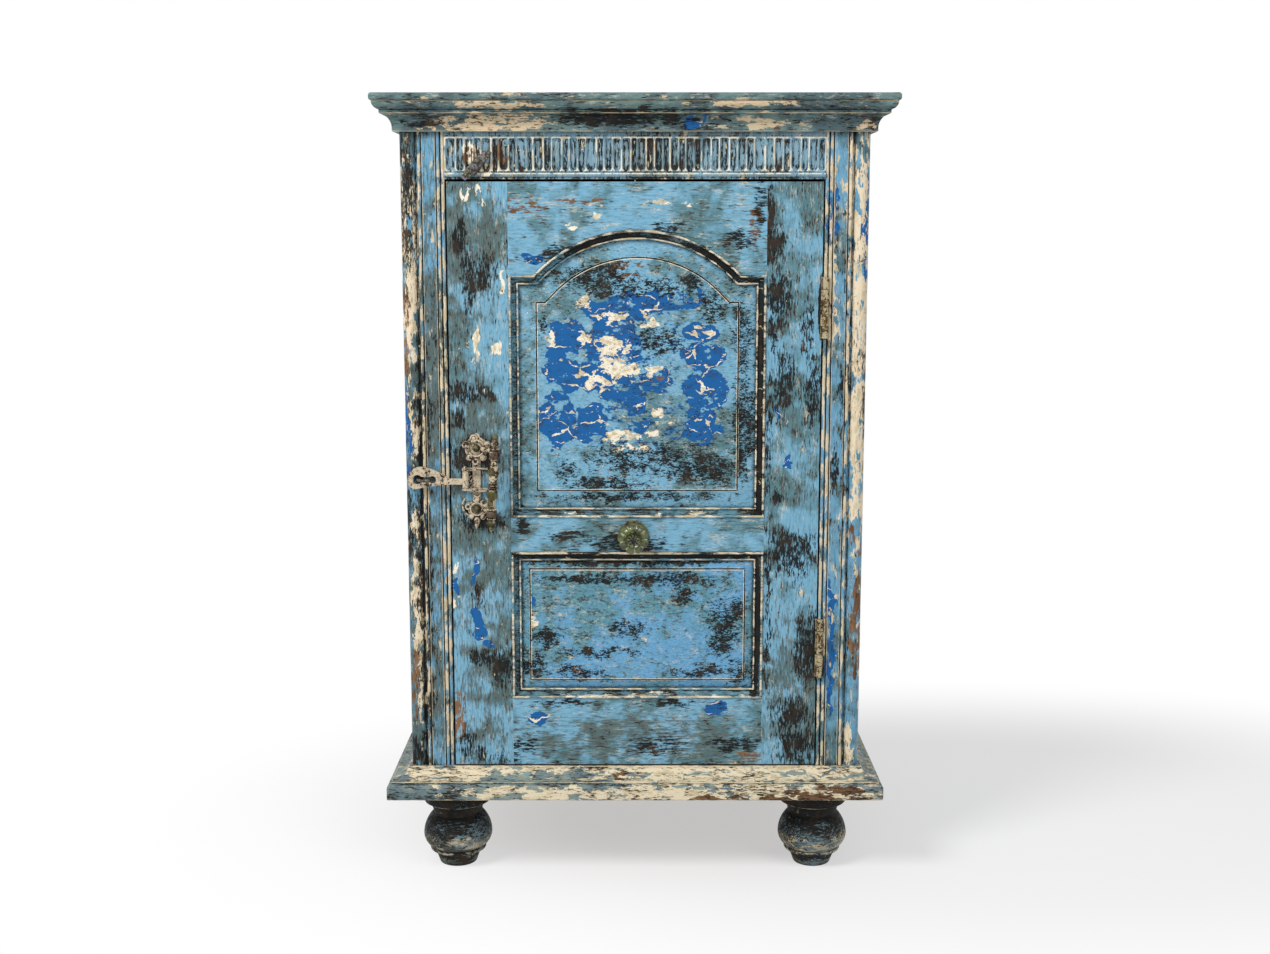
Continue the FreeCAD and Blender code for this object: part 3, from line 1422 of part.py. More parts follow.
def make_latch_plate():
    strip = pad("latch_strip", "XZ_Plane", [
        (-plate_strip_width / 2, lower_rose_height),
        (as_length(0), lower_rose_height - plate_tip),
        (plate_strip_width / 2, lower_rose_height),
        (plate_strip_width / 2, upper_rose_height),
        (-plate_strip_width / 2, upper_rose_height),
    ], plate_thickness, (-latch_offset, front, 0))
    pieces = [strip]
    for name, height, radius in ROSES:
        pieces += rose(f"{name}_rose", height, radius)
    lug_left = hasp_pivot_x - hasp_knuckle_radius
    lug_front = hasp_pivot_y - hasp_knuckle_radius
    lug_levels = (
        (hasp_low - hasp_lug_gap - hasp_lug_thickness, hasp_low - hasp_lug_gap),
        (hasp_low + hasp_knuckle_height + hasp_lug_gap,
         hasp_low + hasp_knuckle_height + hasp_lug_gap + hasp_lug_thickness),
    )
    for index, (low, high) in enumerate(lug_levels):
        pieces.append(box(f"hasp_lug_{index}", (lug_left, lug_front, low),
                          (-latch_offset, front, high)))
        pieces.append(box(f"lug_tail_{index}", (-latch_offset, front - plate_thickness, low),
                          (lug_tail_reach - latch_offset, front, high)))
    tools = dome_shanks("plate_hole", fixing_fit)
    pin_low, pin_high = lug_levels[0][0], lug_levels[1][1]
    tools.append(rod("lug_bore", hasp_pin_radius + fixing_fit, pin_high - pin_low,
                     (hasp_pivot_x, hasp_pivot_y, pin_low), "z"))
    sub_part("latch_plate", cut("latch_plate", fuse("latch_plate_blank", pieces), tools))
    sub_part("hasp_pin", fuse("hasp_pin", [
        rod("hasp_pin_shank", hasp_pin_radius, pin_high - pin_low,
            (hasp_pivot_x, hasp_pivot_y, pin_low), "z"),
        dome("hasp_pin_dome", hasp_pin_head, (hasp_pivot_x, hasp_pivot_y, pin_high), "z"),
    ]))
    domes = []
    for (name, height, _), shank in zip(ROSES, dome_shanks("latch_screw_shank", 0)):
        head = dome(f"latch_screw_{name}_head", dome_radius,
                    (-latch_offset, front - plate_thickness, height), "-y")
        domes.append(fuse(f"latch_screw_{name}", [head, shank]))
    sub_part("latch_screws", group("latch_screws", domes))


# Half profile of the grip from its foot up: shares of its radius and of its length
GRIP_PROFILE = (
    (0.32, 0.03), (0.56, 0.06), (0.35, 0.09), (0.65, 0.11), (0.91, 0.13), (0.94, 0.17),
    (0.59, 0.18), (0.65, 0.24), (0.82, 0.31), (0.88, 0.37), (0.79, 0.39), (0.93, 0.41),
    (0.79, 0.43), (0.93, 0.45), (0.76, 0.47), (0.85, 0.55), (0.94, 0.62), (0.74, 0.74),
    (0.62, 0.79), (0.97, 0.80), (1.0, 0.85), (0.79, 0.87), (0.97, 0.89), (0.62, 0.91),
    (0.38, 0.93), (0.56, 0.96), (0.47, 0.98),
)


def make_grip():
    """Turned upright grip on two curved arms that stand out from the roses."""
    corners = [(as_length(0), -grip_length / 2)]
    corners += [(grip_radius * out, grip_length * (share - 0.5)) for out, share in GRIP_PROFILE]
    corners += [(as_length(0), grip_length / 2)]
    middle = (upper_rose_height + lower_rose_height) / 2 - grip_drop
    body = turned("latch_grip", corners, (grip_offset - latch_offset, front - grip_proud, middle),
                  Rotation(Vector(0, 1, 0), 1))
    body.setExpression("Placement.Rotation.Angle", written(grip_tilt))
    sub_part("latch_grip", body)
    arms = []
    for name, height, _ in ROSES:
        arms.append(cut(f"latch_arm_{name}", curved_arm(name, height), [body]))
    sub_part("latch_arms", group("latch_arms", arms))


def curved_arm(name, height):
    """Round bar that leaves the plate squarely and bends a quarter turn to the grip."""
    body = doc.addObject("PartDesign::Body", f"{name}_arm_sweep")
    bend = grip_offset - arm_start
    straight = grip_proud - plate_thickness - bend
    path = body.newObject("Sketcher::SketchObject", f"{name}_arm_path")
    plane = next(item for item in body.Origin.OriginFeatures if item.Role == "XY_Plane")
    path.AttachmentSupport = (plane, "")
    path.MapMode = "FlatFace"
    corner = Vector(0, -number(straight), 0)
    end = Vector(number(bend), -number(straight + bend), 0)
    path.addGeometry(Part.LineSegment(Vector(), corner))
    path.addGeometry(arc_through(corner, end, number(bend), 1, False))
    path.addConstraint(Sketcher.Constraint("Coincident", 0, 1, -1, 1))
    path.addConstraint(Sketcher.Constraint("Vertical", 0))
    bind_constraint(path, Sketcher.Constraint("DistanceY", -1, 1, 0, 2, -number(straight)),
                    -straight)
    path.addConstraint(Sketcher.Constraint("Tangent", 0, 2, 1, 1))
    bind_constraint(path, Sketcher.Constraint("Radius", 1, number(bend)), bend)
    bind_constraint(path, Sketcher.Constraint("DistanceX", -1, 1, 1, 2, number(bend)), bend)
    profile = body.newObject("Sketcher::SketchObject", f"{name}_arm_section")
    plane = next(item for item in body.Origin.OriginFeatures if item.Role == "XZ_Plane")
    profile.AttachmentSupport = (plane, "")
    profile.MapMode = "FlatFace"
    profile.addGeometry(Part.Circle(Vector(), Vector(0, 0, 1), number(arm_radius)))
    profile.addConstraint(Sketcher.Constraint("Coincident", 0, 3, -1, 1))
    bind_constraint(profile, Sketcher.Constraint("Radius", 0, number(arm_radius)), arm_radius)
    pipe = body.newObject("PartDesign::AdditivePipe", f"{name}_arm_pipe")
    pipe.Profile = profile
    pipe.Spine = (path, ["Edge1", "Edge2"])
    return put(body, (-latch_offset + arm_start, front - plate_thickness, height))


def make_hasp():
    """Slotted hasp that swings on the latch plate and closes over the staple."""
    nose = -(hasp_neck_length + hasp_head_length)
    neck_top = hasp_neck_height / 2 - hasp_neck_drop
    neck_low = -hasp_neck_height / 2 - hasp_neck_drop
    crown_x, chin_x, jaw_x = nose + hasp_crown_place, nose + hasp_chin_place, nose + hasp_jaw_place
    brow = chord_arc(-hasp_neck_length - crown_x, hasp_crown - neck_top, hasp_brow_bulge)
    snout = chord_arc(hasp_crown_place, hasp_crown, hasp_nose_bulge)
    chin = chord_arc(hasp_chin_place, hasp_chin, hasp_chin_bulge)
    head = pad("hasp_head", "XZ_Plane", [
        (as_length(0), neck_low),
        (as_length(0), neck_top),
        (-hasp_neck_length, neck_top),
        (crown_x, hasp_crown, brow, 1, False),
        (nose, as_length(0), snout, 1, False),
        (chin_x, -hasp_chin, chin, 1, False),
        (jaw_x, neck_low - hasp_neck_drop),
        (-hasp_neck_length, neck_low),
    ], hasp_thickness, (hasp_pivot_x, hasp_back, hasp_height))
    knuckle = rod("hasp_knuckle", hasp_knuckle_radius, hasp_knuckle_height,
                  (hasp_pivot_x, hasp_pivot_y, hasp_low), "z")
    middle = hasp_slot_middle()
    outer_x, inner_x = middle - slot_spacing / 2, middle + slot_spacing / 2
    tools = [
        rod("hasp_bore", hasp_pin_radius + turning_fit, hasp_knuckle_height,
            (hasp_pivot_x, hasp_pivot_y, hasp_low), "z"),
        rod("slot_outer_end", slot_outer_radius, hasp_thickness, (outer_x, hasp_back, hasp_height),
            "-y"),
        rod("slot_inner_end", slot_inner_radius, hasp_thickness, (inner_x, hasp_back, hasp_height),
            "-y"),
        box("slot_middle", (outer_x, hasp_back - hasp_thickness, hasp_height - slot_waist),
            (inner_x, hasp_back, hasp_height + slot_waist)),
    ]
    sub_part("hasp", cut("hasp", fuse("hasp_blank", [head, knuckle]), tools))


hasp_back = hasp_pivot_y + hasp_sink


def make_staple():
    """Round wire staple in the post: two legs joined by a half ring."""
    left, right = staple_legs()
    middle = (left + right) / 2
    ring_radius = staple_spacing / 2
    centre_y = front - staple_proud + staple_radius + ring_radius
    ring = doc.addObject("Part::Torus", "staple_ring")
    ring.Angle3 = 180
    bind(ring, Radius1=ring_radius, Radius2=staple_radius)
    put(ring, (middle, centre_y, hasp_height), Rotation(Vector(0, 0, 1), 180))
    legs = [rod(f"staple_leg_{index}", staple_radius, front + staple_depth - centre_y,
                (x, centre_y, hasp_height), "y") for index, x in enumerate((left, right))]
    sub_part("hasp_staple", fuse("hasp_staple", [ring, *legs]))


make_base_board()
make_feet()
make_sides()
make_frieze_rail()
make_sill_rail()
make_rear_rail()
make_back()
make_top_board()
make_cornice()
make_plinth()
make_shelf()
make_door_stop()
make_door_frame()
make_panel("door_upper_panel", arched_corners, upper_margin)
make_panel("door_lower_panel", plain_corners, lower_margin)
make_mouldings()
make_hinges()
make_knob()
make_turn_button()
make_latch_plate()
make_grip()
make_hasp()
make_staple()

doc.recompute()

for item in doc.Objects:
    bad = {"Invalid", "Error"} & set(item.State)
    if bad:
        raise SystemExit(f"{item.Label} failed: {item.State}")
for part in sub_parts:
    if part.Shape.isNull() or not part.Shape.isValid() or not part.Shape.Solids:
        raise SystemExit(f"{part.Label} has no valid solid")

os.makedirs("parts", exist_ok=True)
for part in sub_parts:
    part.Shape.exportStep(f"parts/{part.Label}.step")
print(len(sub_parts), "sub-parts")
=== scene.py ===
import bmesh
import bpy
import math
import numpy as np
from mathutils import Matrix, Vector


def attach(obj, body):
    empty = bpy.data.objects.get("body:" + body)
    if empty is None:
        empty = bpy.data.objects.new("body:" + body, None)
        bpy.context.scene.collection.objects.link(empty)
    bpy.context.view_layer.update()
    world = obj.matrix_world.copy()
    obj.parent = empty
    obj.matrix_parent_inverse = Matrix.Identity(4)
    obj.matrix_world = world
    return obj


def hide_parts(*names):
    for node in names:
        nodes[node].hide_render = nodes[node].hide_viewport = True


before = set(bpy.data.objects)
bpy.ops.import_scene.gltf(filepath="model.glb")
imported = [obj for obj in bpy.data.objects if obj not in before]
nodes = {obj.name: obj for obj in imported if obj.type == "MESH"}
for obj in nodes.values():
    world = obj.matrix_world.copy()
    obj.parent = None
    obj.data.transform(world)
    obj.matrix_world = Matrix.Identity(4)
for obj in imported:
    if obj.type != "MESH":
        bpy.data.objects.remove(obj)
bpy.context.view_layer.update()

# In metres: the front face, the depths where the paint of the door's frame, its panels and the
# rear posts ends, and how far from the middle the paint of the sides and rear posts ends
FRONT = -0.1815
DOOR_BACK = FRONT + 0.0208
PANEL_BACK = FRONT + 0.014
POST_BACK = 0.2172
INSIDE = 0.2735


# Shapes, in millimetres

FACE = FRONT * 1000
BROAD = 1.0  # reach of the mean that finds the crest
CURVE_POINTS = 24  # along every bent wire


def arc(start, end, rise, count=10):
    """Points after start and up to end on the arc that stands rise to the left of their chord:
    centre of the chord, plus radius times the sine of the turn along it, plus the cosine of the
    turn, less what lies under the chord, square to it."""
    start, end = np.array(start, float), np.array(end, float)
    chord = end - start
    length = np.hypot(*chord)
    along, left = chord / length, np.array([-chord[1], chord[0]]) / length
    radius = (length ** 2 / 4 + rise ** 2) / (2 * abs(rise))
    turn = np.linspace(-1, 1, count + 1)[1:, None] * np.arcsin(length / 2 / radius)
    bow = radius * np.cos(turn) - (radius - abs(rise))
    return (start + end) / 2 + along * radius * np.sin(turn) + left * np.sign(rise) * bow


def traced(*steps):
    """Points along straight lines and arcs: each step is the next point, with the arc's rise and
    count of points after it where an arc leads there."""
    points, last = [], None
    for x, y, *bend in steps:
        points.extend(arc(last, (x, y), *bend) if bend else [(x, y)])
        last = (x, y)
    return np.array(points, float)


def bell_mean(points, step, soften):
    """Each point's bell-weighted mean with its neighbours, less the points at both ends that
    the weights reach over."""
    reach = int(4 * soften / step) + 1
    weight = np.exp(-0.5 * (np.arange(-reach, reach + 1) * step / soften) ** 2)
    weight /= weight.sum()
    return np.stack([np.convolve(points[:, k], weight, "valid") for k in (0, 1)], 1)


def crest_of(points, mean, broad, around):
    """How far a broad mean pulls each point in, over its reach: positive on arrises and beads,
    negative in hollows."""
    ahead = np.gradient(mean, axis=0)
    outward = np.stack([ahead[:, 1], -ahead[:, 0]], 1)
    outward /= np.linalg.norm(outward, axis=1)[:, None] + 1e-9
    return around * ((points - broad) * outward).sum(1) / BROAD


def distances(line):
    """How far along the line each of its points is."""
    return np.concatenate([[0], np.cumsum(np.linalg.norm(np.diff(line, axis=0), axis=1))])


def points_at(line, along, at):
    """Points at these distances on a line whose own points stand at the distances along."""
    return np.stack([np.interp(at, along, line[:, k]) for k in (0, 1)], 1)


def softened(corners, soften, step):
    """A closed section with its arrises worn. Points are spread evenly along the corners' line
    and each is moved to the bell-weighted mean of its neighbours. The second result is the
    crest."""
    line = np.vstack([corners, corners[:1]])
    along = distances(line)
    count = int(along[-1] / step)
    points = points_at(line, along, np.arange(count) * along[-1] / count)
    means = []
    for wide in (soften, BROAD):
        reach = int(4 * wide / step) + 1
        padded = np.vstack([points[-reach:], points, points[:reach]])
        means.append(bell_mean(padded, step, wide))
    x, y = points.T
    around = np.sign((x * np.roll(y, -1) - np.roll(x, -1) * y).sum())
    return means[0], crest_of(points, *means, around)


def fair(profile, step, soften):
    """An open profile resampled evenly and worn, with its ends kept, and its crest."""
    line = np.array(profile, float)
    along = distances(line)
    count = max(int(along[-1] / step), 4)
    points = points_at(line, along, np.linspace(0, along[-1], count))
    means = []
    for wide in (soften, BROAD):
        reach = min(int(4 * wide / step) + 1, count - 1)
        wide = min(wide, (reach - 1) * step / 4 + 1e-3)
        padded = np.vstack([2 * points[:1] - points[reach:0:-1], points,
                            2 * points[-1:] - points[-2:-reach - 2:-1]])
        means.append(bell_mean(padded, step, wide))
    return means[0], crest_of(points, *means, 1.0)


def wander(along, seed, size):
    """Slow unevenness of hand work: three sines of unlike lengths added over the distance."""
    rest = np.random.default_rng(seed).uniform(0, 2 * np.pi, 3)
    return size * sum(np.sin(along / length + turn) / 3
                      for length, turn in zip((6.1, 14.7, 31.0), rest))


def carried(line, path, out, up):
    """Rings of a section carried along a path: path point + out * across + up * rise."""
    return path[:, None] + line[None, :, :1] * out[:, None] + line[None, :, 1:] * up[:, None]


def all_round(count):
    """This many angles, evenly round a circle."""
    return np.arange(count) * 2 * np.pi / count


def turned(profile, centre, axis, count, spread=None):
    """Rings of a turned shape: the profile's (radius, place along the axis) carried round it."""
    axis = np.array(axis, float)
    side = np.cross(axis, (0.36, 0.48, 0.8))
    side /= np.linalg.norm(side)
    other = np.cross(axis, side)
    angle = all_round(count)
    wheel = np.cos(angle)[:, None] * side + np.sin(angle)[:, None] * other
    radius, place = np.array(profile, float).T
    radius = radius[:, None] * (spread(angle) if spread else 1)
    return np.array(centre, float) + radius[..., None] * wheel + place[:, None, None] * axis


def placed(name, data):
    """A new object in the scene."""
    piece = bpy.data.objects.new(name, data)
    bpy.context.scene.collection.objects.link(piece)
    return piece


def ring_faces(count, size, closed, start):
    """Quads between neighbouring rings, and one face over each open end."""
    index = start + np.arange(count * size).reshape(count, size)
    lower = index if closed else index[:-1]
    upper = np.roll(index, -1, 0) if closed else index[1:]
    quads = np.stack([lower, upper, np.roll(upper, -1, 1), np.roll(lower, -1, 1)], -1)
    faces = quads.reshape(-1, 4).tolist()
    if not closed:
        faces += [index[0].tolist(), index[-1][::-1].tolist()]
    return faces


def made(name, parts, body, slot, finish, replaces=(), sharp=42.0):
    """A mesh piece that rides on its body. Each part is (rings, crest, whether its rings close),
    with rings[i, j] being point j of ring i."""
    points, faces, crests, start = [], [], [], 0
    for rings, crest, closed in parts:
        count, size = rings.shape[:2]
        points.append(rings.reshape(-1, 3))
        crests.append(np.broadcast_to(crest, (count, size)).ravel())
        faces += ring_faces(count, size, closed, start)
        start += count * size
    mesh = bpy.data.meshes.new(name)
    mesh.from_pydata((np.vstack(points) / 1000).tolist(), [], faces)
    work = bmesh.new()
    work.from_mesh(mesh)
    bmesh.ops.recalc_face_normals(work, faces=work.faces)
    work.to_mesh(mesh)
    work.free()
    level = mesh.attributes.new("crest", "FLOAT", "POINT")
    level.data.foreach_set("value", np.concatenate(crests))
    mesh.shade_smooth()
    mesh.set_sharp_from_angle(angle=math.radians(sharp))
    mesh.materials.append(finish)
    piece = placed(name, mesh)
    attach(piece, body)
    if replaces:
        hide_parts(*replaces)


def skin(name, rings, crest, *settings, closed=False, **more):
    """A piece of one part."""
    made(name, [(rings, crest, closed)], *settings, **more)


# Finishes

def tint(code):
    """A hex colour as the linear colour that a shader takes."""
    part = np.array([int(code[i:i + 2], 16) / 255 for i in (1, 3, 5)])
    line = np.where(part <= 0.04045, part / 12.92, ((part + 0.055) / 1.055) ** 2.4)
    return (*line, 1.0)


class Graph:
    """Nodes of a material or world: each method adds some and gives back their output."""

    def __init__(self, holder):
        holder.use_nodes = True
        self.tree = holder.node_tree
        self.tree.nodes.clear()

    def add(self, kind, *sources, into=None, **settings):
        """A node with these settings. The sources, outputs or values, go to its sockets in turn,
        and those in into to the sockets that it names or counts."""
        node = self.tree.nodes.new("ShaderNode" + kind)
        for key, value in settings.items():
            setattr(node, key, value)
        for key, source in (into or dict(enumerate(sources))).items():
            if isinstance(source, bpy.types.NodeSocket):
                self.tree.links.new(source, node.inputs[key])
            elif source is not None:
                node.inputs[key].default_value = source
        return node

    def math(self, operation, *sources):
        return self.add("Math", *sources, operation=operation).outputs[0]

    def vector(self, operation, *sources):
        node = self.add("VectorMath", *sources, operation=operation)
        return node.outputs["Value" if operation == "LENGTH" else "Vector"]

    def step(self, value, low, high, start=0.0, end=1.0):
        """Goes smoothly from start to end as value goes from low to high."""
        node = self.add("MapRange", value, low, high, start, end, interpolation_type="SMOOTHSTEP")
        return node.outputs[0]

    def seen(self):
        """1 to the camera, also by way of glass and gloss, and 0 to all other rays."""
        path = self.add("LightPath").outputs
        rays = self.math("MAXIMUM", path["Is Camera Ray"], path["Is Glossy Ray"])
        return self.math("MAXIMUM", rays, path["Is Transmission Ray"])


class Finish(Graph):
    """A piece's material. Its noises run on the piece's own coordinates, moved by the offset."""

    def __init__(self, name, offset=(0, 0, 0)):
        self.material = bpy.data.materials.new(name)
        super().__init__(self.material)
        self.place = self.add("TexCoord").outputs["Object"]
        self.spot = self.vector("ADD", self.place, offset)

    def noise(self, scale, detail, rough, place=None, warp=0.0, output=0):
        into = {"Vector": place or self.spot, "Scale": scale, "Detail": detail,
                "Roughness": rough, "Distortion": warp}
        return self.add("TexNoise", into=into).outputs[output]

    def even(self, scale, detail=3.0, rough=0.6, place=None, warp=0.0):
        """Noise about zero whose usual swing is one."""
        sizes = rough ** np.arange(int(detail) + 1)
        spread = 0.135 * np.sqrt((sizes ** 2).sum()) / sizes.sum()
        level = self.noise(scale, detail, rough, place, warp)
        return self.math("MULTIPLY_ADD", level, float(1 / spread), float(-0.5 / spread))

    def cracks(self, scale, place):
        """Distance to the nearest crack between cells."""
        node = self.add("TexVoronoi", into={"Vector": place, "Scale": scale},
                        feature="DISTANCE_TO_EDGE")
        return node.outputs["Distance"]

    def crest(self):
        """The piece's own attribute: above 0 on its arrises and beads, below 0 in its hollows."""
        return self.add("Attribute", attribute_name="crest").outputs["Fac"]

    def blend(self, share, first, second):
        node = self.add("Mix", into={0: share, 6: first, 7: second}, data_type="RGBA")
        return node.outputs[2]

    def over(self, colour, code, level, low, high, most=1.0):
        """The colour with a hex colour over it, up to most as the level goes from low to high."""
        return self.blend(self.step(level, low, high, 0.0, most), colour, tint(code))

    def total(self, *weighted):
        """Sum of value times weight over these pairs."""
        result = None
        for value, weight in weighted:
            if result is None:
                result = self.math("MULTIPLY", value, weight)
            else:
                result = self.math("MULTIPLY_ADD", value, weight, result)
        return result

    def near(self, patches, place=None):
        """Distance to the nearest patch, in its own half sizes: each patch is (x, z, half width,
        half height) in millimetres, and the depth doesn't count."""
        nearest = None
        for x, z, wide, high in patches:
            scale = (1000 / wide, 0.0, 1000 / high)
            shifted = self.vector("MULTIPLY_ADD", place or self.place, scale,
                                  (-x / wide, 0.0, -z / high))
            away = self.vector("LENGTH", shifted)
            nearest = away if nearest is None else self.math("MINIMUM", nearest, away)
        return nearest

    def crevice(self, reach=0.006, **settings):
        """1 in corners and gaps, 0 in the open."""
        node = self.add("AmbientOcclusion", into={"Distance": reach}, samples=5, **settings)
        return self.math("SUBTRACT", 1.0, node.outputs["AO"])

    def arris(self, reach=0.003):
        """1 at the piece's own sharp edges, 0 on its flats."""
        return self.crevice(reach, inside=True, only_local=True)

    def bump(self, height, depth, strength):
        node = self.add("Bump", into={"Strength": strength, "Distance": depth, "Height": height})
        return node.outputs["Normal"]

    def done(self, colour, roughness, normal, **sockets):
        """The finished material. The other sockets of its shader go by their names."""
        others = {key.replace("_", " "): value for key, value in sockets.items()}
        shader = self.add("BsdfPrincipled", into={"Base Color": colour, "Roughness": roughness,
                                                  "Normal": normal, **others})
        self.add("OutputMaterial", shader.outputs[0])
        return self.material


GRAIN_UP = (1.0, 1.0, 0.33)
GRAIN_ACROSS = (0.33, 1.0, 1.0)
GRAIN_DEEP = (1.0, 0.33, 1.0)
GRAIN_SHORT = (0.6, 1.0, 1.0)


def bare_boards(finish, grain, light, dark):
    """Colour of unpainted pine: long rings along the grain with finer lines in them."""
    along = finish.vector("MULTIPLY", finish.vector("MULTIPLY", finish.spot, grain), grain)
    ring = finish.noise(38, 3, 0.6, along, 1.2)
    line = finish.noise(420, 3, 0.7, along)
    share = finish.total((ring, 0.7), (line, 0.45))
    return finish.blend(finish.step(share, 0.35, 0.8), tint(dark), tint(light))


def rubbed_paint(name, grain, offset, top=("#78acc7", "#577f88"), under="#efe5cf",
                 wax=0.0, cobalt=0.0, cream=0.0, wood=0.0, rub=0.0, fine=0.1,
                 wax_at=(), cobalt_at=(), cream_at=(), wood_at=(), worn_at=(), painted_shade_at=(),
                 film_at=(), hidden=None, inner=None):
    """Old coats of paint rubbed through: bare wood, cream, cobalt and blue, from the bottom up,
    with dark wax in the grain and in the corners. In corners and gaps the ambient occlusion
    also paints near-black shade over the colour and lifts the wax. The black there is partly
    wax and partly painted shade, and the shade patches are painted shade. Every coat shows where
    a sum of noises, each about zero with a swing of one, passes its level: the patches and the
    steady shares lift it. The crest brings out cream on arrises and wax in hollows. Behind the
    depth of hidden, and nearer to the middle than inner, the wood is bare."""
    f = Finish(name, offset)
    along = f.vector("MULTIPLY", f.spot, grain)
    drawn = f.vector("MULTIPLY", along, tuple(part ** 0.6 for part in grain))
    dust = f.even(900, 3, 0.7, drawn)
    cloud = f.even(10, 3, 0.5)
    blot = f.even(40, 4, 0.6, warp=0.4)
    rag = f.even(150, 4, 0.65, along)
    grit = f.even(430, 4, 0.7, drawn)
    chip = f.even(120, 5, 0.65, f.vector("ADD", along, (7.3, 0.4, 5.9)))
    flake = f.even(55, 5, 0.62, f.vector("ADD", along, (3.1, 1.7, 2.3)))
    wobble = f.noise(55, 3, 0.5, output="Color")
    moved = f.vector("MULTIPLY_ADD", wobble, (0.026, 0.0, 0.026), (-0.013, 0.0, -0.013))
    spread = f.vector("ADD", f.place, moved)
    # ambient occlusion of corners and gaps: used below as painted shade and to lift the wax
    corner = f.crevice()
    crest = f.crest()
    ridge = f.step(crest, fine, fine + 0.2)
    hollow = f.step(crest, -0.07, -0.28)
    arris = f.step(f.arris(), 0.25, 0.6)

    def lifted(patches, soft, strength, reach=1.1):
        if not patches:
            return 0.0
        return f.step(f.near(patches, spread), reach + soft, reach - soft, 0.0, strength)

    wax_and_shade_lift = lifted(wax_at, 0.65, 2.8)
    worn = lifted(worn_at, 0.4, 1.0)
    # painted shade: the shade patches darken like wax, four times as strongly
    if painted_shade_at:
        wax_and_shade_lift = f.math("MAXIMUM", wax_and_shade_lift, f.step(f.near(painted_shade_at), 1.3, 0.9, 0.0, 4.0))
    # the occlusion term adds painted shade to the wax in corners and gaps
    wax_and_shade_level = f.total((grit, 0.65), (dust, 0.75), (rag, 0.35), (blot, 0.3), (cloud, 0.35),
                        (hollow, 2.4), (corner, 2.2), (wax_and_shade_lift, 1.0), (1.0, wax - 1.8))
    film_level = f.total((blot, 0.35), (cloud, 0.45), (rag, 0.6), (grit, 0.65), (dust, 0.3),
                         (wax_and_shade_lift, 0.4), (hollow, 0.8), (lifted(film_at, 0.5, 1.5), 1.0),
                         (1.0, wax * 0.5 - 0.1))
    cobalt_level = f.total((flake, 0.9), (rag, 0.35), (lifted(cobalt_at, 0.35, 4.8, 1.28), 1.0),
                           (1.0, cobalt - 3.3))
    speck_level = f.total((chip, -0.7), (grit, 0.7), (rag, 0.5), (worn, 2.5), (1.0, cobalt - 3.4))
    cream_level = f.total((chip, 1.2), (rag, 0.45), (grit, 0.4),
                          (lifted(cream_at, 0.45, 4.3), 1.0), (worn, 0.7), (1.0, cream - 3.9))
    wood_level = f.total((chip, -0.7), (grit, 0.5), (blot, 0.4), (lifted(wood_at, 0.4, 3.6), 1.0),
                         (1.0, wood - 3.2))
    rub_level = f.total((ridge, 3.2), (arris, 1.6), (rag, 0.8), (chip, 0.6), (1.0, rub - 2.7))
    crack = f.total((f.cracks(52, f.vector("MULTIPLY", spread, (0.5, 1.0, 1.0))), -40.0),
                    (rag, 0.6), (flake, 0.5), (cobalt_level, 0.5), (1.0, -0.6))

    coat = f.over(tint(top[0]), top[1], f.total((cloud, 0.7), (blot, 0.4)), -0.9, 0.9)
    coat = f.over(coat, "#3f6673", grit, -1.0, 2.2, 0.45)
    coat = f.over(coat, "#8fb6c4", rag, 0.8, 2.4, 0.5)
    faded = f.total((dust, 0.75), (chip, 0.6), (cloud, 0.2))
    coat = f.over(coat, "#c6c3b4", faded, 0.7, 2.0, 0.65)
    coat = f.over(coat, "#545b54", film_level, 0.1, 2.0, 0.75)
    deep = f.over(tint("#175c99"), "#214c7b", rag, 0.0, 2.0)
    pale = f.over(tint(under), "#c9ba98", rag, -0.2, 1.8)
    ground = bare_boards(f, grain, "#8d6a4a", "#4d3524")
    black = f.over(tint("#0c0c0b"), "#2b2019", blot, 0.2, 2.0)

    specks = f.step(speck_level, 0.0, 0.2)
    cobalt_shows = f.math("MAXIMUM", f.step(cobalt_level, 0.0, 0.16), specks)
    cream_shows = f.math("MAXIMUM", f.step(cream_level, 0.0, 0.16), f.step(crack, 0.0, 0.3))
    wood_shows = f.step(wood_level, 0.0, 0.5)
    wax_and_shade_shows = f.step(wax_and_shade_level, -0.1, 0.65)
    rubbed = f.step(rub_level, 0.0, 0.5)
    colour = f.blend(cobalt_shows, coat, deep)
    colour = f.blend(cream_shows, colour, pale)
    colour = f.blend(wood_shows, colour, ground)
    colour = f.blend(f.math("MULTIPLY", wax_and_shade_shows, 0.96), colour, black)
    # painted shade: near-black laid over corners and gaps by ambient occlusion
    colour = f.over(colour, "#15120f", corner, 0.35, 0.85, 0.9)
    colour = f.blend(f.math("MULTIPLY", rubbed, 0.92), colour, pale)
    across, depth, _ = f.add("SeparateXYZ", f.place).outputs
    if hidden:
        colour = f.blend(f.step(depth, hidden - 0.001, hidden + 0.001), colour, ground)
    if inner:
        away = f.math("ABSOLUTE", across)
        colour = f.blend(f.step(away, inner + 0.001, inner - 0.001), colour, ground)
    height = f.total((cobalt_shows, -0.35), (cream_shows, -0.25), (wood_shows, -0.3),
                     (wax_and_shade_shows, -0.5), (grit, 0.08), (rag, 0.06))
    rough = f.step(f.total((wax_and_shade_shows, 0.5), (rag, 0.12)), 0.0, 0.8, 0.45, 0.75)
    return f.done(colour, rough, f.bump(height, 0.0010, 0.55), Specular_IOR_Level=0.18)


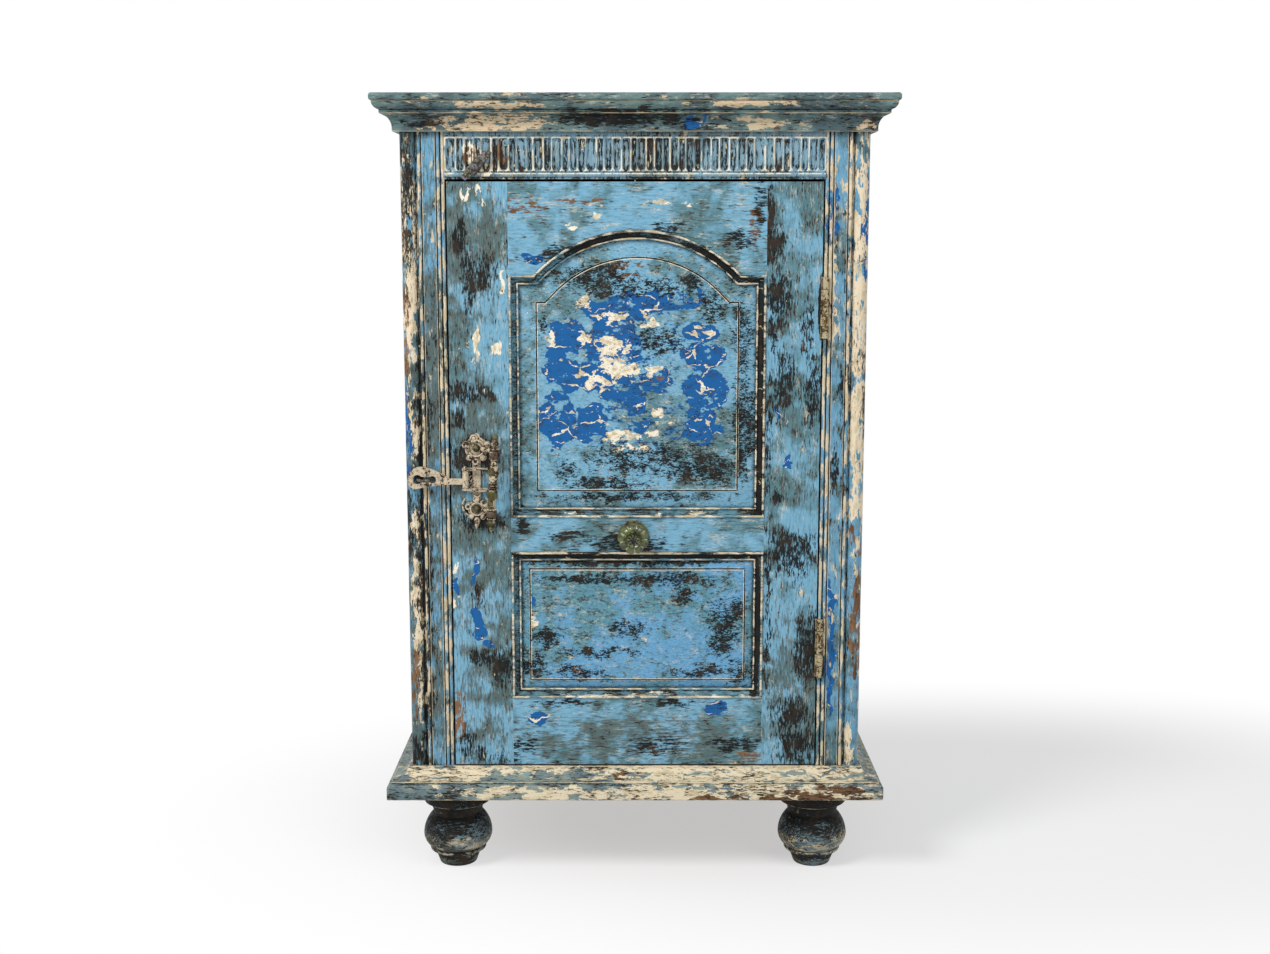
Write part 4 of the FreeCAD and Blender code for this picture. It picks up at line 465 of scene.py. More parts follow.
def bare_wood(name, grain, offset=(0, 0, 0)):
    """Unpainted pine, dirty in patches, with painted shade in its corners."""
    f = Finish(name, offset)
    colour = bare_boards(f, grain, "#9a7650", "#573d29")
    colour = f.over(colour, "#3a2b20", f.noise(14, 4, 0.6), 0.45, 0.75, 0.5)
    # painted shade: dark brown in corners by ambient occlusion
    colour = f.over(colour, "#1d1712", f.crevice(0.01), 0.2, 0.8, 0.7)
    line = f.noise(420, 3, 0.7, f.vector("MULTIPLY", f.spot, grain))
    return f.done(colour, 0.68, f.bump(line, 0.0006, 0.5))


def old_metal(name, base, worn, dark, offset=(0, 0, 0), paint=None, cover=0.0, olive_at=(),
              brown_at=(), metallic=0.7):
    """Handled metal: dirty in its hollows, with painted shade in its corners, bright on its edges,
    with old paint on it where paint is given. Cover moves how much of it is painted, and the
    patches are stained on top."""
    f = Finish(name, offset)
    cloud = f.even(75, 4, 0.6)
    rag = f.even(260, 4, 0.65)
    fleck = f.even(620, 3, 0.7)
    # ambient occlusion of corners, used below as painted shade
    corner = f.crevice(0.0035)
    hollow = f.step(f.crest(), -0.05, -0.25)
    colour = f.over(tint(dark), base, rag, -0.8, 1.2)
    colour = f.over(colour, worn, f.total((f.arris(0.0015), 2.0), (fleck, 0.5)), 0.5, 1.6)
    metal = metallic
    if paint:
        kept = f.total((cloud, 0.7), (rag, 0.6), (hollow, -1.2), (1.0, cover))
        painted = f.step(kept, -0.1, 0.15)
        coat = f.over(tint(paint), base, f.total((rag, 0.7), (fleck, 0.5)), 0.0, 1.8, 0.8)
        colour = f.blend(painted, colour, coat)
        metal = f.math("MULTIPLY", metallic, f.math("SUBTRACT", 1.0, painted))
    for patches, stain in ((olive_at, "#504c2a"), (brown_at, "#3a2717")):
        if patches:
            level = f.total((f.near(patches), -1.0), (rag, 0.14), (1.0, 1.05))
            colour = f.over(colour, stain, level, -0.05, 0.12, 0.92)
    # painted shade from the corners' occlusion, with dirt in hollows and in patches
    dirt_and_shade = f.total((corner, 1.6), (hollow, 0.5), (rag, 0.12), (fleck, 0.08))
    colour = f.over(colour, "#1c130c", dirt_and_shade, 0.35, 0.95, 0.94)
    rough = f.step(fleck, -1.2, 1.2, 0.34, 0.6)
    height = f.total((rag, 0.10), (fleck, 0.06))
    return f.done(colour, rough, f.bump(height, 0.0010, 0.5), Metallic=metal,
                  Specular_IOR_Level=0.4)


def glaze(name):
    """Olive glaze, dark in patches, thin and pale along the creases between the lobes."""
    f = Finish(name)
    cloud = f.even(110, 4, 0.6)
    fleck = f.even(420, 3, 0.6)
    crease = f.total((f.crest(), 1.0), (fleck, -0.04))
    colour = f.over(tint("#262c0a"), "#525c20", cloud, -1.0, 1.0)
    colour = f.over(colour, "#7b8148", fleck, 0.8, 2.2, 0.4)
    colour = f.over(colour, "#b4b88c", crease, -0.16, -0.30, 0.85)
    # painted shade: near-black in crevices by ambient occlusion
    colour = f.over(colour, "#191a08", f.crevice(0.005), 0.15, 0.7, 0.85)
    return f.done(colour, 0.20, f.bump(fleck, 0.0001, 0.4), Coat_Weight=0.5, Coat_Roughness=0.08)


def wear(names, finish):
    """Gives the finish to these nodes. A name that ends in * stands for the left and the right."""
    for name in names.split():
        for side in ("left", "right") if name.endswith("*") else ("",):
            slots = nodes[name.replace("*", side)].data.materials
            slots.clear()
            slots.append(finish)
    return finish


POST_COATS = {"top": ("#6a9dba", "#50747e"), "under": "#e2d2b6", "rub": 0.9}
TOP_COATS = {"grain": GRAIN_ACROSS, "offset": (0.4, 3.2, 1.4), "top": ("#68807c", "#4a6066"),
             "under": "#d3bd9d", "wax": 0.7}

wear("door_stile_* door_pegs", rubbed_paint(
    "rubbed_stile_paint", GRAIN_UP, (0.3, 0.1, 0.7), hidden=DOOR_BACK, top=("#78abc5", "#557a82"),
    wax_at=((-189, 775, 10, 25), (-172, 783, 4, 15), (-214, 827, 8, 20), (-205, 772, 8, 42),
            (-212, 633, 23, 13), (-189, 633, 15, 10), (-197, 369, 10, 13), (-208, 290, 7, 12),
            (-172, 278, 12, 24), (-189, 287, 18, 9), (-200, 162, 9, 9), (-175, 157, 12, 8),
            (-217, 174, 9, 19), (-156, 816, 4, 37), (165, 852, 9, 37), (161, 818, 11, 27),
            (176, 819, 7, 20), (179, 751, 15, 31), (171, 704, 3, 56), (184, 650, 15, 33),
            (217, 698, 8, 40), (223, 633, 11, 38), (169, 568, 4, 57), (181, 499, 7, 9),
            (196, 440, 23, 18), (214, 436, 15, 19), (201, 417, 25, 26), (217, 305, 12, 45),
            (198, 215, 23, 24), (207, 171, 26, 24), (169, 351, 5, 92), (-206, 548, 30, 20),
            (-196, 470, 28, 13), (-222, 600, 8, 14)),
    # painted shade: dark bands down the gaps beside the hinge knuckles
    painted_shade_at=((232.5, 738, 4.2, 39), (232.5, 303.5, 4.2, 39)),
    film_at=((-205, 300, 40, 170), (-205, 550, 40, 110), (-205, 800, 40, 90), (200, 250, 30, 90)),
    wood_at=((160, 846, 7, 37), (-225, 212, 10, 37), (-197, 369, 9, 10), (-230, 766, 5, 12),
             (214, 692, 5, 12)),
    cream_at=((-197, 875, 13, 15), (-172, 687, 8, 9), (-199, 683, 5, 27), (-163, 769, 3, 17),
              (-192, 633, 13, 6), (-229, 410, 4, 6), (-229, 362, 5, 7)),
    cobalt_at=((-227, 382, 4, 12), (-202, 402, 4, 17), (-201, 334, 7, 20), (-188, 307, 7, 7),
               (196, 544, 4, 9), (178, 604, 2, 9))))
wear("door_top_rail door_middle_rail door_bottom_rail", rubbed_paint(
    "rubbed_rail_paint", GRAIN_ACROSS, (1.3, 0.6, 0.2), hidden=DOOR_BACK,
    wax_at=((155, 856, 9, 32), (38, 837, 16, 7), (130, 823, 18, 10), (-142, 461, 10, 8),
            (-83, 449, 32, 5), (-6, 440, 51, 10), (-151, 167, 20, 20), (30, 172, 34, 12),
            (131, 176, 32, 8), (54, 230, 32, 5), (-98, 230, 39, 5), (6, 826, 37, 6),
            (-93, 803, 37, 10)),
    film_at=((-20, 185, 140, 28), (60, 178, 70, 24)),
    wood_at=((148, 842, 8, 26), (-133, 866, 35, 10), (-80, 868, 35, 5), (149, 159, 18, 9),
             (41, 836, 10, 5), (26, 170, 13, 7)),
    cream_at=((-51, 868, 10, 6), (-46, 852, 4, 6), (-80, 838, 5, 4), (35, 864, 15, 4),
              (65, 866, 15, 5), (-128, 794, 7, 2)),
    cobalt_at=((-128, 801, 12, 6), (109, 221, 13, 8), (-125, 211, 10, 7))))
upper_paint = wear("door_upper_panel", rubbed_paint(
    "rubbed_upper_panel_paint", GRAIN_SHORT, (2.1, 0.3, 1.2), hidden=PANEL_BACK,
    cobalt_at=((-30, 680, 30, 40), (-85, 705, 18, 20), (-91, 665, 20, 25), (-98, 600, 18, 30),
               (-55, 601, 16, 15), (-57, 580, 18, 11), (-4, 741, 30, 14), (40, 745, 32, 11),
               (-44, 735, 17, 11), (83, 751, 7, 6), (82, 708, 19, 11), (84, 678, 25, 14),
               (88, 634, 25, 20), (80, 597, 18, 15), (104, 586, 8, 6), (71, 576, 11, 6),
               (87, 572, 10, 8), (29, 644, 18, 11), (-1, 620, 13, 18), (4, 591, 10, 9),
               (-14, 692, 17, 9), (-11, 715, 11, 7), (-44, 692, 13, 15), (-46, 648, 18, 15),
               (-19, 623, 20, 13)),
    cream_at=((-26, 724, 14, 5), (-28, 688, 19, 11), (-20, 664, 24, 14), (-45, 644, 18, 7),
              (23, 660, 11, 9), (29, 606, 8, 10), (-20, 577, 20, 7), (14, 577, 16, 5),
              (-4, 562, 20, 5), (-65, 698, 5, 7), (-105, 700, 4, 10), (20, 718, 12, 4),
              (-61, 745, 8, 10)),
    wood_at=((-14, 789, 22, 4), (-11, 778, 20, 4), (-57, 715, 4, 7), (-35, 529, 10, 6),
             (31, 652, 6, 4)),
    wax_at=((29, 695, 31, 17), (-41, 775, 50, 15), (97, 739, 15, 17), (-115, 715, 6, 11),
            (73, 767, 15, 12), (9, 545, 63, 17), (-85, 535, 13, 13), (-37, 516, 51, 8),
            (137, 597, 10, 82), (135, 685, 12, 62), (82, 534, 50, 15), (6, 498, 101, 5),
            (6, 762, 75, 10)),
    worn_at=((2, 690, 62, 70), (-5, 590, 85, 34))))
lower_paint = wear("door_lower_panel", rubbed_paint(
    "rubbed_lower_panel_paint", GRAIN_SHORT, (0.9, 1.4, 2.2), hidden=PANEL_BACK,
    top=("#68a1c8", "#5c8f9e"),
    wax_at=((45, 392, 57, 8), (65, 374, 10, 10), (-129, 278, 13, 16), (-73, 268, 36, 8),
            (94, 271, 41, 8), (129, 355, 10, 14), (-45, 296, 54, 5), (-4, 327, 28, 11),
            (-113, 315, 16, 13), (133, 271, 13, 16), (112, 326, 18, 39), (-45, 392, 77, 5),
            (6, 414, 127, 4)),
    cream_at=((-128, 338, 5, 7),), cobalt_at=((-132, 365, 4, 8),),
    wood_at=((-76, 270, 8, 4), (65, 374, 5, 5))))
moulding_paint = wear("upper_panel_moulding lower_panel_moulding", rubbed_paint(
    "rubbed_moulding_paint", GRAIN_ACROSS, (0.2, 2.4, 0.5), wax=1.4, hidden=DOOR_BACK,
    top=("#5f8998", "#566f74"), rub=0.7, fine=0.17,
    wax_at=((153, 620, 9, 150), (120, 800, 40, 30), (-60, 822, 60, 18)),
    # painted shade: dark under the top of the lower moulding and down the right legs of both
    painted_shade_at=((0, 428, 170, 8), (157, 610, 10, 150), (152, 330, 8, 90)),
    # painted highlight: cream along the top-facing bottom legs of both mouldings
    cream_at=((0, 474, 150, 3), (0, 239, 150, 3))))
post_paint = wear("front_post_*", rubbed_paint(
    "rubbed_post_paint", GRAIN_UP, (4.2, 0.2, 1.1), wax=0.25, cream=0.8, **POST_COATS,
    cream_at=((-281, 795, 12, 147), (-277, 588, 5, 46), (-276, 452, 5, 28), (-279, 385, 6, 34),
              (-275, 323, 6, 99), (281, 700, 12, 255), (267, 894, 6, 48), (289, 313, 2, 79),
              (274, 174, 9, 27), (245, 760, 4, 62), (281, 520, 8, 60)),
    cobalt_at=((244, 839, 5, 55), (251, 300, 4, 79), (293, 597, 3, 76), (-287, 572, 4, 52),
               (288, 809, 5, 74)),
    wood_at=((284, 346, 9, 105), (-287, 710, 6, 62), (276, 450, 5, 13), (-281, 247, 5, 53)),
    wax_at=((-268, 414, 8, 234), (264, 681, 2, 250), (-283, 870, 9, 73), (261, 635, 6, 28),
            (251, 534, 5, 26), (290, 622, 4, 50), (-288, 470, 10, 52), (-286, 165, 11, 16)),
    film_at=((-268, 520, 34, 400),),
    # painted shade: dark bands down the gaps beside the hinge knuckles
    painted_shade_at=((242.2, 738, 1.6, 39), (242.2, 303.5, 1.6, 39))))
wear("rear_post_*", rubbed_paint(
    "rubbed_rear_post_paint", GRAIN_UP, (7.3, 2.9, 4.6), wax=0.3, cream=1.0, wood=0.4,
    hidden=POST_BACK, inner=INSIDE, **POST_COATS))
wear("side_panel_*", rubbed_paint("rubbed_side_paint", GRAIN_UP, (5.1, 1.2, 0.4), inner=INSIDE))
wear("side_top_rail_* side_bottom_rail_*", rubbed_paint(
    "rubbed_side_rail_paint", GRAIN_DEEP, (6.1, 2.2, 0.4), inner=INSIDE))
wear("top_board", rubbed_paint("rubbed_top_paint", cream=0.8, rub=0.4, **TOP_COATS))
cornice_paint = wear("cornice_front cornice_*", rubbed_paint(
    "rubbed_cornice_paint", cream=0.9, cobalt=0.2, rub=0.5, **TOP_COATS,
    cream_at=((-168, 984, 60, 5), (-175, 963, 75, 9), (142, 984, 52, 4), (150, 963, 43, 6),
              (280, 957, 14, 4), (-258, 957, 15, 4), (-160, 994, 48, 1)),
    cobalt_at=((73, 963, 11, 5),), wood_at=((171, 957, 9, 2),),
    wax_at=((-23, 969, 76, 9), (-260, 962, 20, 4))))
frieze_paint = wear("frieze_rail frieze_pegs", rubbed_paint(
    "rubbed_frieze_paint", GRAIN_UP, (1.4, 4.2, 0.4), wax=0.1, top=("#7fa0b0", "#6d858d"),
    rub=0.7, cream=0.5, cobalt=0.6, wood_at=((-195, 928, 20, 14), (-170, 926, 16, 18)),
    cream_at=((-204, 925, 14, 14), (-186, 908, 16, 7))))
plinth_paint = wear("plinth_front plinth_*", rubbed_paint(
    "rubbed_plinth_paint", GRAIN_ACROSS, (3.4, 0.2, 2.4), top=("#88938a", "#66787e"), wax=1.0,
    cream=1.3, wood=0.8, rub=0.8, under="#e0d2b4",
    cream_at=((60, 119, 260, 9), (0, 143, 900, 4), (-240, 136, 50, 7), (130, 133, 160, 5)),
    wood_at=((130, 109, 190, 4), (250, 120, 50, 9), (-20, 136, 10, 4))))
feet_paint = wear("foot_front_* foot_rear_*", rubbed_paint(
    "dark_foot_paint", GRAIN_ACROSS, (0.4, 5.2, 3.4), wax=1.2, rub=0.2, wood=0.3,
    top=("#6b7d84", "#4b5047"), under="#a9a391",
    # the wax band round the neck is partly dark paint and partly painted shade under the plinth;
    # the cream bands on the ring and the lower belly are painted highlight
    wax_at=((0, 92, 900, 40), (0, 15, 900, 4)), cream_at=((0, 22, 900, 3), (0, 37, 900, 9))))
wear("back_board_* door_stop shelf_battens", bare_wood("bare_inside_wood", GRAIN_UP))
wear("shelf base_board bottom_front_rail rear_top_rail", bare_wood(
    "bare_shelf_wood", GRAIN_ACROSS, (2.0, 1.0, 0.5)))
wear("hinge_leaves_frame hinge_leaves_door hinge_pins "
     "hinge_screws_frame hinge_screws_door", old_metal(
    "aged_hinge_brass", "#7a6238", "#c2ad7c", "#3a2a18", paint="#b3a583", cover=0.15,
    brown_at=tuple((237, z + k * 15.2, 30, 0.45) for z in (738, 303.5)
                   for k in (-1.5, -0.5, 0.5, 1.5))))
latch_metal = wear("latch_plate latch_arms hasp hasp_pin", old_metal(
    "painted_latch_metal", "#6f5b44", "#cbbba0", "#2c2016", (1.0, 0.5, 0.2), paint="#cbbba1",
    cover=0.75))
grip_metal = wear("latch_grip", old_metal(
    "painted_grip_metal", "#5f5234", "#c5b394", "#2c2113", (0.7, 0.2, 0.9), paint="#cdbda0",
    cover=0.4,
    brown_at=((-172, 555, 12, 5), (-174, 514, 12, 1.0), (-174, 519, 12, 1.0), (-183, 481, 12, 5),
              (-174, 562, 12, 1.2)),
    olive_at=((-182, 535, 5, 5), (-174, 578, 12, 5), (-180, 505, 12, 6), (-186, 466, 12, 6),
              (-182, 495, 4, 7))))
wear("latch_screws knob_rosette", old_metal(
    "olive_dome_metal", "#66653f", "#a8a37c", "#2c2a15", (0.4, 0.9, 0.2), metallic=0.4))
button_paint, _ = (
    wear(names, old_metal(name, "#4a4733", "#d2cdbc", "#1b1910", (2.0, 0.5, 0.2),
                          paint="#85808a", cover=-0.6, metallic=metallic))
    for names, name, metallic in (("turn_button", "olive_button_paint", 0.0),
                                  ("turn_button_screw hasp_staple", "olive_button_metal", 0.5)))
wear("back_nails knob_bolt knob_nut", old_metal(
    "dark_nail_iron", "#3c3a38", "#77726a", "#1c1a18", metallic=0.8))
knob_glaze = wear("ceramic_knob", glaze("olive_knob_glaze"))


# Mouldings and panels

PANEL_LEFT, PANEL_RIGHT = -157.5, 163.5
ARCH_RISE, SHOULDER = 55.8, 31.0
UPPER_OPENING = (473.0, 778.3, True)
LOWER_OPENING = (236.6, 428.6, False)
HALF_WIDTH, BACK = 290.0, 218.5
PLINTH_LOW, PLINTH_HIGH = 108.5, 146.5
POST_LOW, POST_HIGH = 128.5, 987.8
CORNICE_LOW = 952.5
FRIEZE_HALF, FRIEZE_LOW, FRIEZE_BACK = 234.5, 895.5, FACE + 25
FOOT_ACROSS, FOOT_DEPTHS = 236, (("front", FACE + 45), ("rear", 173.5))
BACKWARD = (0.0, 1.0, 0.0)
UPWARD = (0.0, 0.0, 1.0)


def spread_out(corners, step):
    """Points at most step apart along straight lines between these corners, which are kept.
    Columns after the first two are carried along in the same shares."""
    points = []
    for start, end in zip(corners, np.roll(corners, -1, 0)):
        count = max(int(np.ceil(np.linalg.norm((end - start)[:2]) / step)), 1)
        points.append(start + (end - start) * (np.arange(count) / count)[:, None])
    return np.vstack(points)


def inward(points):
    """At each corner of an anticlockwise outline, the way in along its mitre, long enough for
    the same distance from both sides: the sum of both normals over one plus their product."""
    ahead = np.roll(points, -1, 0) - points
    normal = np.stack([-ahead[:, 1], ahead[:, 0]], 1) / np.linalg.norm(ahead, axis=1)[:, None]
    before = np.roll(normal, 1, 0)
    return (normal + before) / (1 + (normal * before).sum(1))[:, None]


def opening_line(low, high, arched):
    """The opening's outline in the door frame, with the arch over its shoulders if it has one,
    and the way in at each of its points."""
    arch = [(PANEL_RIGHT - SHOULDER, high), (PANEL_LEFT + SHOULDER, high, -ARCH_RISE, 44)]
    corners = traced((PANEL_LEFT, low), (PANEL_RIGHT, low), (PANEL_RIGHT, high),
                    *(arch if arched else ()), (PANEL_LEFT, high))
    return spread_out(np.hstack([corners, inward(corners)]), 9.0)


def round_opening(line, outline, shift=0.0):
    """Rings of a section carried round an opening: across is the distance in from the frame and
    rise the depth behind the face."""
    into = np.stack([outline[:, 2], np.zeros(len(outline)), outline[:, 3]], 1)
    path = np.stack([outline[:, 0], np.full(len(outline), FACE), outline[:, 1]], 1) + shift * into
    return carried(line, path, into, np.tile(BACKWARD, (len(outline), 1)))


def panel_moulding(node, low, high, arched, seed):
    """Planted moulding: bead, quirk, cove and inner bead carried round the opening."""
    line, crest = softened(traced((0, 9), (0, -1.1), (3.2, -1.1, -1.3, 6), (3.2, 0.6),
                                 (9, 5, 1.6, 8), (12, 5, -1.2, 6), (12, 9)), 0.32, 0.3)
    outline = opening_line(low, high, arched)
    along = np.cumsum(np.linalg.norm((outline - np.roll(outline, 1, 0))[:, :2], axis=1))
    rings = round_opening(line, outline, wander(along, seed, 0.2)[:, None])
    skin(node + ".shown", rings, crest, "door", "rubbed_blue_paint", moulding_paint, (node,),
         closed=True)


def fielded_panel(node, low, high, arched, margin, finish):
    """Raised panel: tongue in the groove, sloping margin, quirk and stepped field, which a flat
    face closes in front as another does behind."""
    edge = 12 + margin
    line, crest = fair([(12, 15), (-6, 15), (-6, 9), (12, 9), (edge - 1.7, 5.6), (edge - 1.4, 6.6),
                        (edge, 6.6), (edge, 4.0), (edge + 2.5, 4.0)], 0.4, 0.25)
    crest = crest + 0.34 * np.exp(-((line[:, 0] - edge - 0.35) / 0.55) ** 2) * (line[:, 1] < 4.6)
    rings = round_opening(line, opening_line(low, high, arched)).transpose(1, 0, 2)
    skin(node + ".shown", rings, crest[:, None], "door", "rubbed_blue_paint", finish, (node,))


def run_round(kind, corners, low, slot, finish, seed):
    """A mitred moulding round the front and both sides of the carcass."""
    line, crest = softened(corners, 0.45, 0.45)
    corner = np.array([(-HALF_WIDTH, BACK), (-HALF_WIDTH, FACE), (HALF_WIDTH, FACE),
                       (HALF_WIDTH, BACK)])
    away = np.array([(-1.0, 0.0), (0.0, -1.0), (1.0, 0.0)])
    path, out = [], []
    for leg in range(3):
        count = int(np.linalg.norm(corner[leg + 1] - corner[leg]) / 10)
        share = (np.arange(count) / count)[:, None]
        path.append(corner[leg] + (corner[leg + 1] - corner[leg]) * share)
        out.append(np.tile(away[leg], (count, 1)))
        if leg:
            out[leg][0] = away[leg] + away[leg - 1]
    path, out = np.vstack([*path, corner[3][None]]), np.vstack([*out, away[2][None]])
    along = np.cumsum(np.linalg.norm(path - np.roll(path, 1, 0), axis=1))
    path = path - out * (0.15 + wander(along, seed, 0.15))[:, None]
    flat = np.zeros((len(path), 1))
    rings = carried(line, np.hstack([path, flat + low]), np.hstack([out, flat]),
                    np.tile(UPWARD, (len(path), 1)))
    nodes_shown = tuple(f"{kind}_{side}" for side in ("front", "left", "right"))
    skin(kind + "_run", rings, crest, "carcass", slot, finish, nodes_shown)


def front_post(side, name):
    """Front post: a section with corner column, quirks, reeds and flat carried up. Across is the
    distance in from the outer face and rise the depth behind the front. Behind the plinth and the
    cornice the same points lie on the plain faces."""
    angle, radius = np.radians(np.linspace(121.6, 328.4, 30)), 10.5
    column = radius + radius * np.stack([np.cos(angle), np.sin(angle)], 1)
    reeds = traced((22.04, 5), (22.04, 1.9), (26.44, 1.9, -1.9, 8), (26.44, 3.4), (27.64, 3.4),
                  (27.64, 0.8), (44.3, 0.8), (44.3, 3.4), (45.5, 3.4), (45.5, 1.9),
                  (49.9, 1.9, -1.9, 8), (49.9, 3.4), (51.1, 3.4), (51.1, 1.9),
                  (55.5, 1.9, -1.9, 8), (55.5, 45), (0, 45), (0, 22.04), (5, 22.04))
    line, crest = softened(np.vstack([column, reeds]), 0.3, 0.4)
    plain = line.copy()
    plain[(line[:, 1] <= line[:, 0]) & (line[:, 1] < 6), 1] = 0
    plain[(line[:, 0] <= line[:, 1]) & (line[:, 0] < 6), 0] = 0
    level = np.concatenate([
        [POST_LOW, PLINTH_HIGH - 0.1], np.arange(PLINTH_HIGH + 0.1, CORNICE_LOW - 0.5, 11.5),
        [CORNICE_LOW - 0.1, CORNICE_LOW + 0.1, POST_HIGH]])
    carved = ((level > PLINTH_HIGH) & (level < CORNICE_LOW))[:, None, None]
    section = np.where(carved, line + wander(level, side + 5, 0.15)[:, None, None] * (1, 0), plain)
    rings = np.stack([side * (HALF_WIDTH - section[..., 0]), FACE + section[..., 1],
                      np.broadcast_to(level[:, None], section.shape[:2])], -1)
    skin(name + ".shown", rings, np.where(carved[..., 0], crest, 0.0), "carcass",
         "rubbed_blue_paint", post_paint, (name,))


def blurred(grid, steps):
    """Each point of a grid averaged with its neighbours by bell weights, along both ways."""
    weight = np.exp(-0.5 * (np.arange(-3 * steps, 3 * steps + 1) / steps) ** 2)
    weight /= weight.sum()
    for axis in (0, 1):
        edge = [(0, 0), (0, 0)]
        edge[axis] = (3 * steps, 3 * steps)
        grid = np.apply_along_axis(np.convolve, axis, np.pad(grid, edge, "edge"), weight, "valid")
    return grid


def carved_frieze():
    """Rail with hand-cut flutes: the depth behind the face is a function of place across and
    height. Each flute is a hollow whose depth falls to nothing at its edge as a circle does, round
    at its foot and square at its head; widths, ends and depths all differ a little. The ridges
    left between the flutes are the crest, and so are the flared feet below them."""
    columns, rows, flutes = 900, 76, 44
    flute_low, flute_high, bead_middle, bead_half = 905.2, 944.6, 900.6, 2.9
    under_flutes, over_flutes, top_groove = 904.6, 945.5, 947.4
    rng = np.random.default_rng(11)
    wide = np.tile((10.6, 7.6, 9.2, 8.4), flutes // 4) + rng.normal(0, 0.9, flutes)
    ridge = rng.uniform(0.9, 2.3, flutes + 1)
    scale = 2 * FRIEZE_HALF / (wide.sum() + ridge.sum())
    wide, ridge = wide * scale, ridge * scale
    start = -FRIEZE_HALF + np.cumsum(ridge[:-1]) + np.concatenate([[0], np.cumsum(wide[:-1])])
    x = np.linspace(-FRIEZE_HALF, FRIEZE_HALF, columns)[:, None]
    z = np.linspace(FRIEZE_LOW, CORNICE_LOW, rows)[None, :]
    depth = np.zeros((columns, rows))
    for left, width in zip(start, wide):
        half = width / 2
        low, high = flute_low + rng.uniform(-0.8, 0.8), flute_high + rng.uniform(-0.6, 0.6)
        lean = rng.normal(0, 0.006) * (z - 925)
        near = np.abs(x - left - half - lean) / half
        foot = np.clip((low + half * 1.2 - z) / half / 1.2, 0, None)
        head = np.clip((z - high + half * 0.3) / (half * 0.3), 0, None)
        reach = near ** 2.4 + foot ** 2 + head ** 6
        depth = np.maximum(depth, rng.uniform(2.3, 3.2) * np.sqrt(np.clip(1 - reach, 0, 1)))
    carved = blurred(depth, 1)
    bead = np.clip(1 - ((z - bead_middle) / bead_half) ** 2, 0, 1)
    soft = carved - 2.4 * np.sqrt(bead) + 1.3 * np.exp(-((z - 904.1) / 0.45) ** 2)
    soft = blurred(soft + 0.9 * np.exp(-((z - top_groove) / 0.6) ** 2), 1)
    above = 0.34 * np.exp(-((z - 945.9) / 1.0) ** 2) + 0.34 * np.exp(-((z - 902.2) / 1.2) ** 2)
    between = (z > under_flutes) & (z < over_flutes)
    crest = np.where(between, 0.36 - 0.36 * np.clip(carved / 0.8, 0, 1), 0) + above
    crest = crest + np.clip((blurred(soft, 2) - soft) / 0.45, -0.5, 0)
    front = np.stack([np.broadcast_to(x, depth.shape), FACE + soft + 0.02,
                      np.broadcast_to(z, depth.shape)], -1)
    back = np.stack([np.stack(np.broadcast_arrays(x[:, 0], FRIEZE_BACK, level), -1)
                     for level in (CORNICE_LOW, FRIEZE_LOW)], 1)
    skin("frieze_rail.shown", np.concatenate([front, back], 1), np.pad(crest, ((0, 0), (0, 2))),
         "carcass", "rubbed_blue_paint", frieze_paint, ("frieze_rail",), sharp=60.0)


def bun_foot(name, x, y, seed):
    """Turned foot: base, taper, ring, belly, neck and flange, a little out of round."""
    profile, crest = fair(traced(
        (0.5, 0), (22.5, 0), (25, 2.5, -0.73, 4), (31, 18.5), (35.5, 18.5), (35.5, 23.5, -1.7, 6),
        (45.5, 40, -2.3, 12), (32.5, 70, -3.38, 14), (44, 86, 3.39, 10), (44, 108.4),
        (0.5, 108.4)), 0.9, 0.5)
    rings = turned(profile, (x, y, 0), UPWARD, 72,
                   lambda angle: 0.996 + 0.004 * np.sin(2 * angle + seed))
    skin(name + ".shown", rings, crest[:, None], "carcass", "dark_feet_paint", feet_paint, (name,))


# Metalwork and knob

PLATE_X, UPPER_DOME, LOWER_DOME = -200.0, 562.0, 484.5
ON_PLATE = 4.6
GRIP_MIDDLE, GRIP_TILT = (-177.5, FACE - 22, 520.75), math.radians(3.6)
KNOB_X, KNOB_HEIGHT, LOBES = -2, 450, 9
BUTTON_X, BUTTON_HEIGHT = -196, 911


def wire(points, radius, count):
    """Rings of a round wire through these points, with a radius at each: both ways across are
    square to the run."""
    points = np.array(points, float)
    along = np.gradient(points, axis=0)
    along /= np.linalg.norm(along, axis=1)[:, None]
    side = np.cross(along, (0.02, 1.0, 0.01))
    side /= np.linalg.norm(side, axis=1)[:, None]
    other = np.cross(along, side)
    angle = all_round(count)
    wheel = np.cos(angle)[:, None] * side[:, None] + np.sin(angle)[:, None] * other[:, None]
    return points[:, None] + wheel * np.broadcast_to(radius, len(points))[:, None, None]


def bent(corners):
    """Points on one smooth curve through these places: at each, a sum of the four places round
    it by cubic weights that give the places themselves at whole steps."""
    corners = np.array(corners, float)
    before, after = 2 * corners[0] - corners[1], 2 * corners[-1] - corners[-2]
    padded = np.vstack([before, corners, after])
    place = np.linspace(0, len(corners) - 1 - 1e-6, CURVE_POINTS)
    start = place.astype(int)
    t = (place - start)[:, None]
    a, b, c, d = (padded[start + k] for k in range(4))
    return 0.5 * (2 * b + (c - a) * t + (2 * a - 5 * b + 4 * c - d) * t ** 2
                  + (3 * b - a - 3 * c + d) * t ** 3)


def hoop(x, z, radius, tube, depth):
    """Ring of round wire lying on the plate: points on a circle, with the wire carried round."""
    angle, turn = all_round(28)[:, None], all_round(10)
    reach = radius + tube * np.cos(turn)
    rings = np.stack(np.broadcast_arrays(x + np.cos(angle) * reach,
                                         FACE - depth - tube * np.sin(turn),
                                         z + np.sin(angle) * reach), -1)
    return rings, 0.0, True


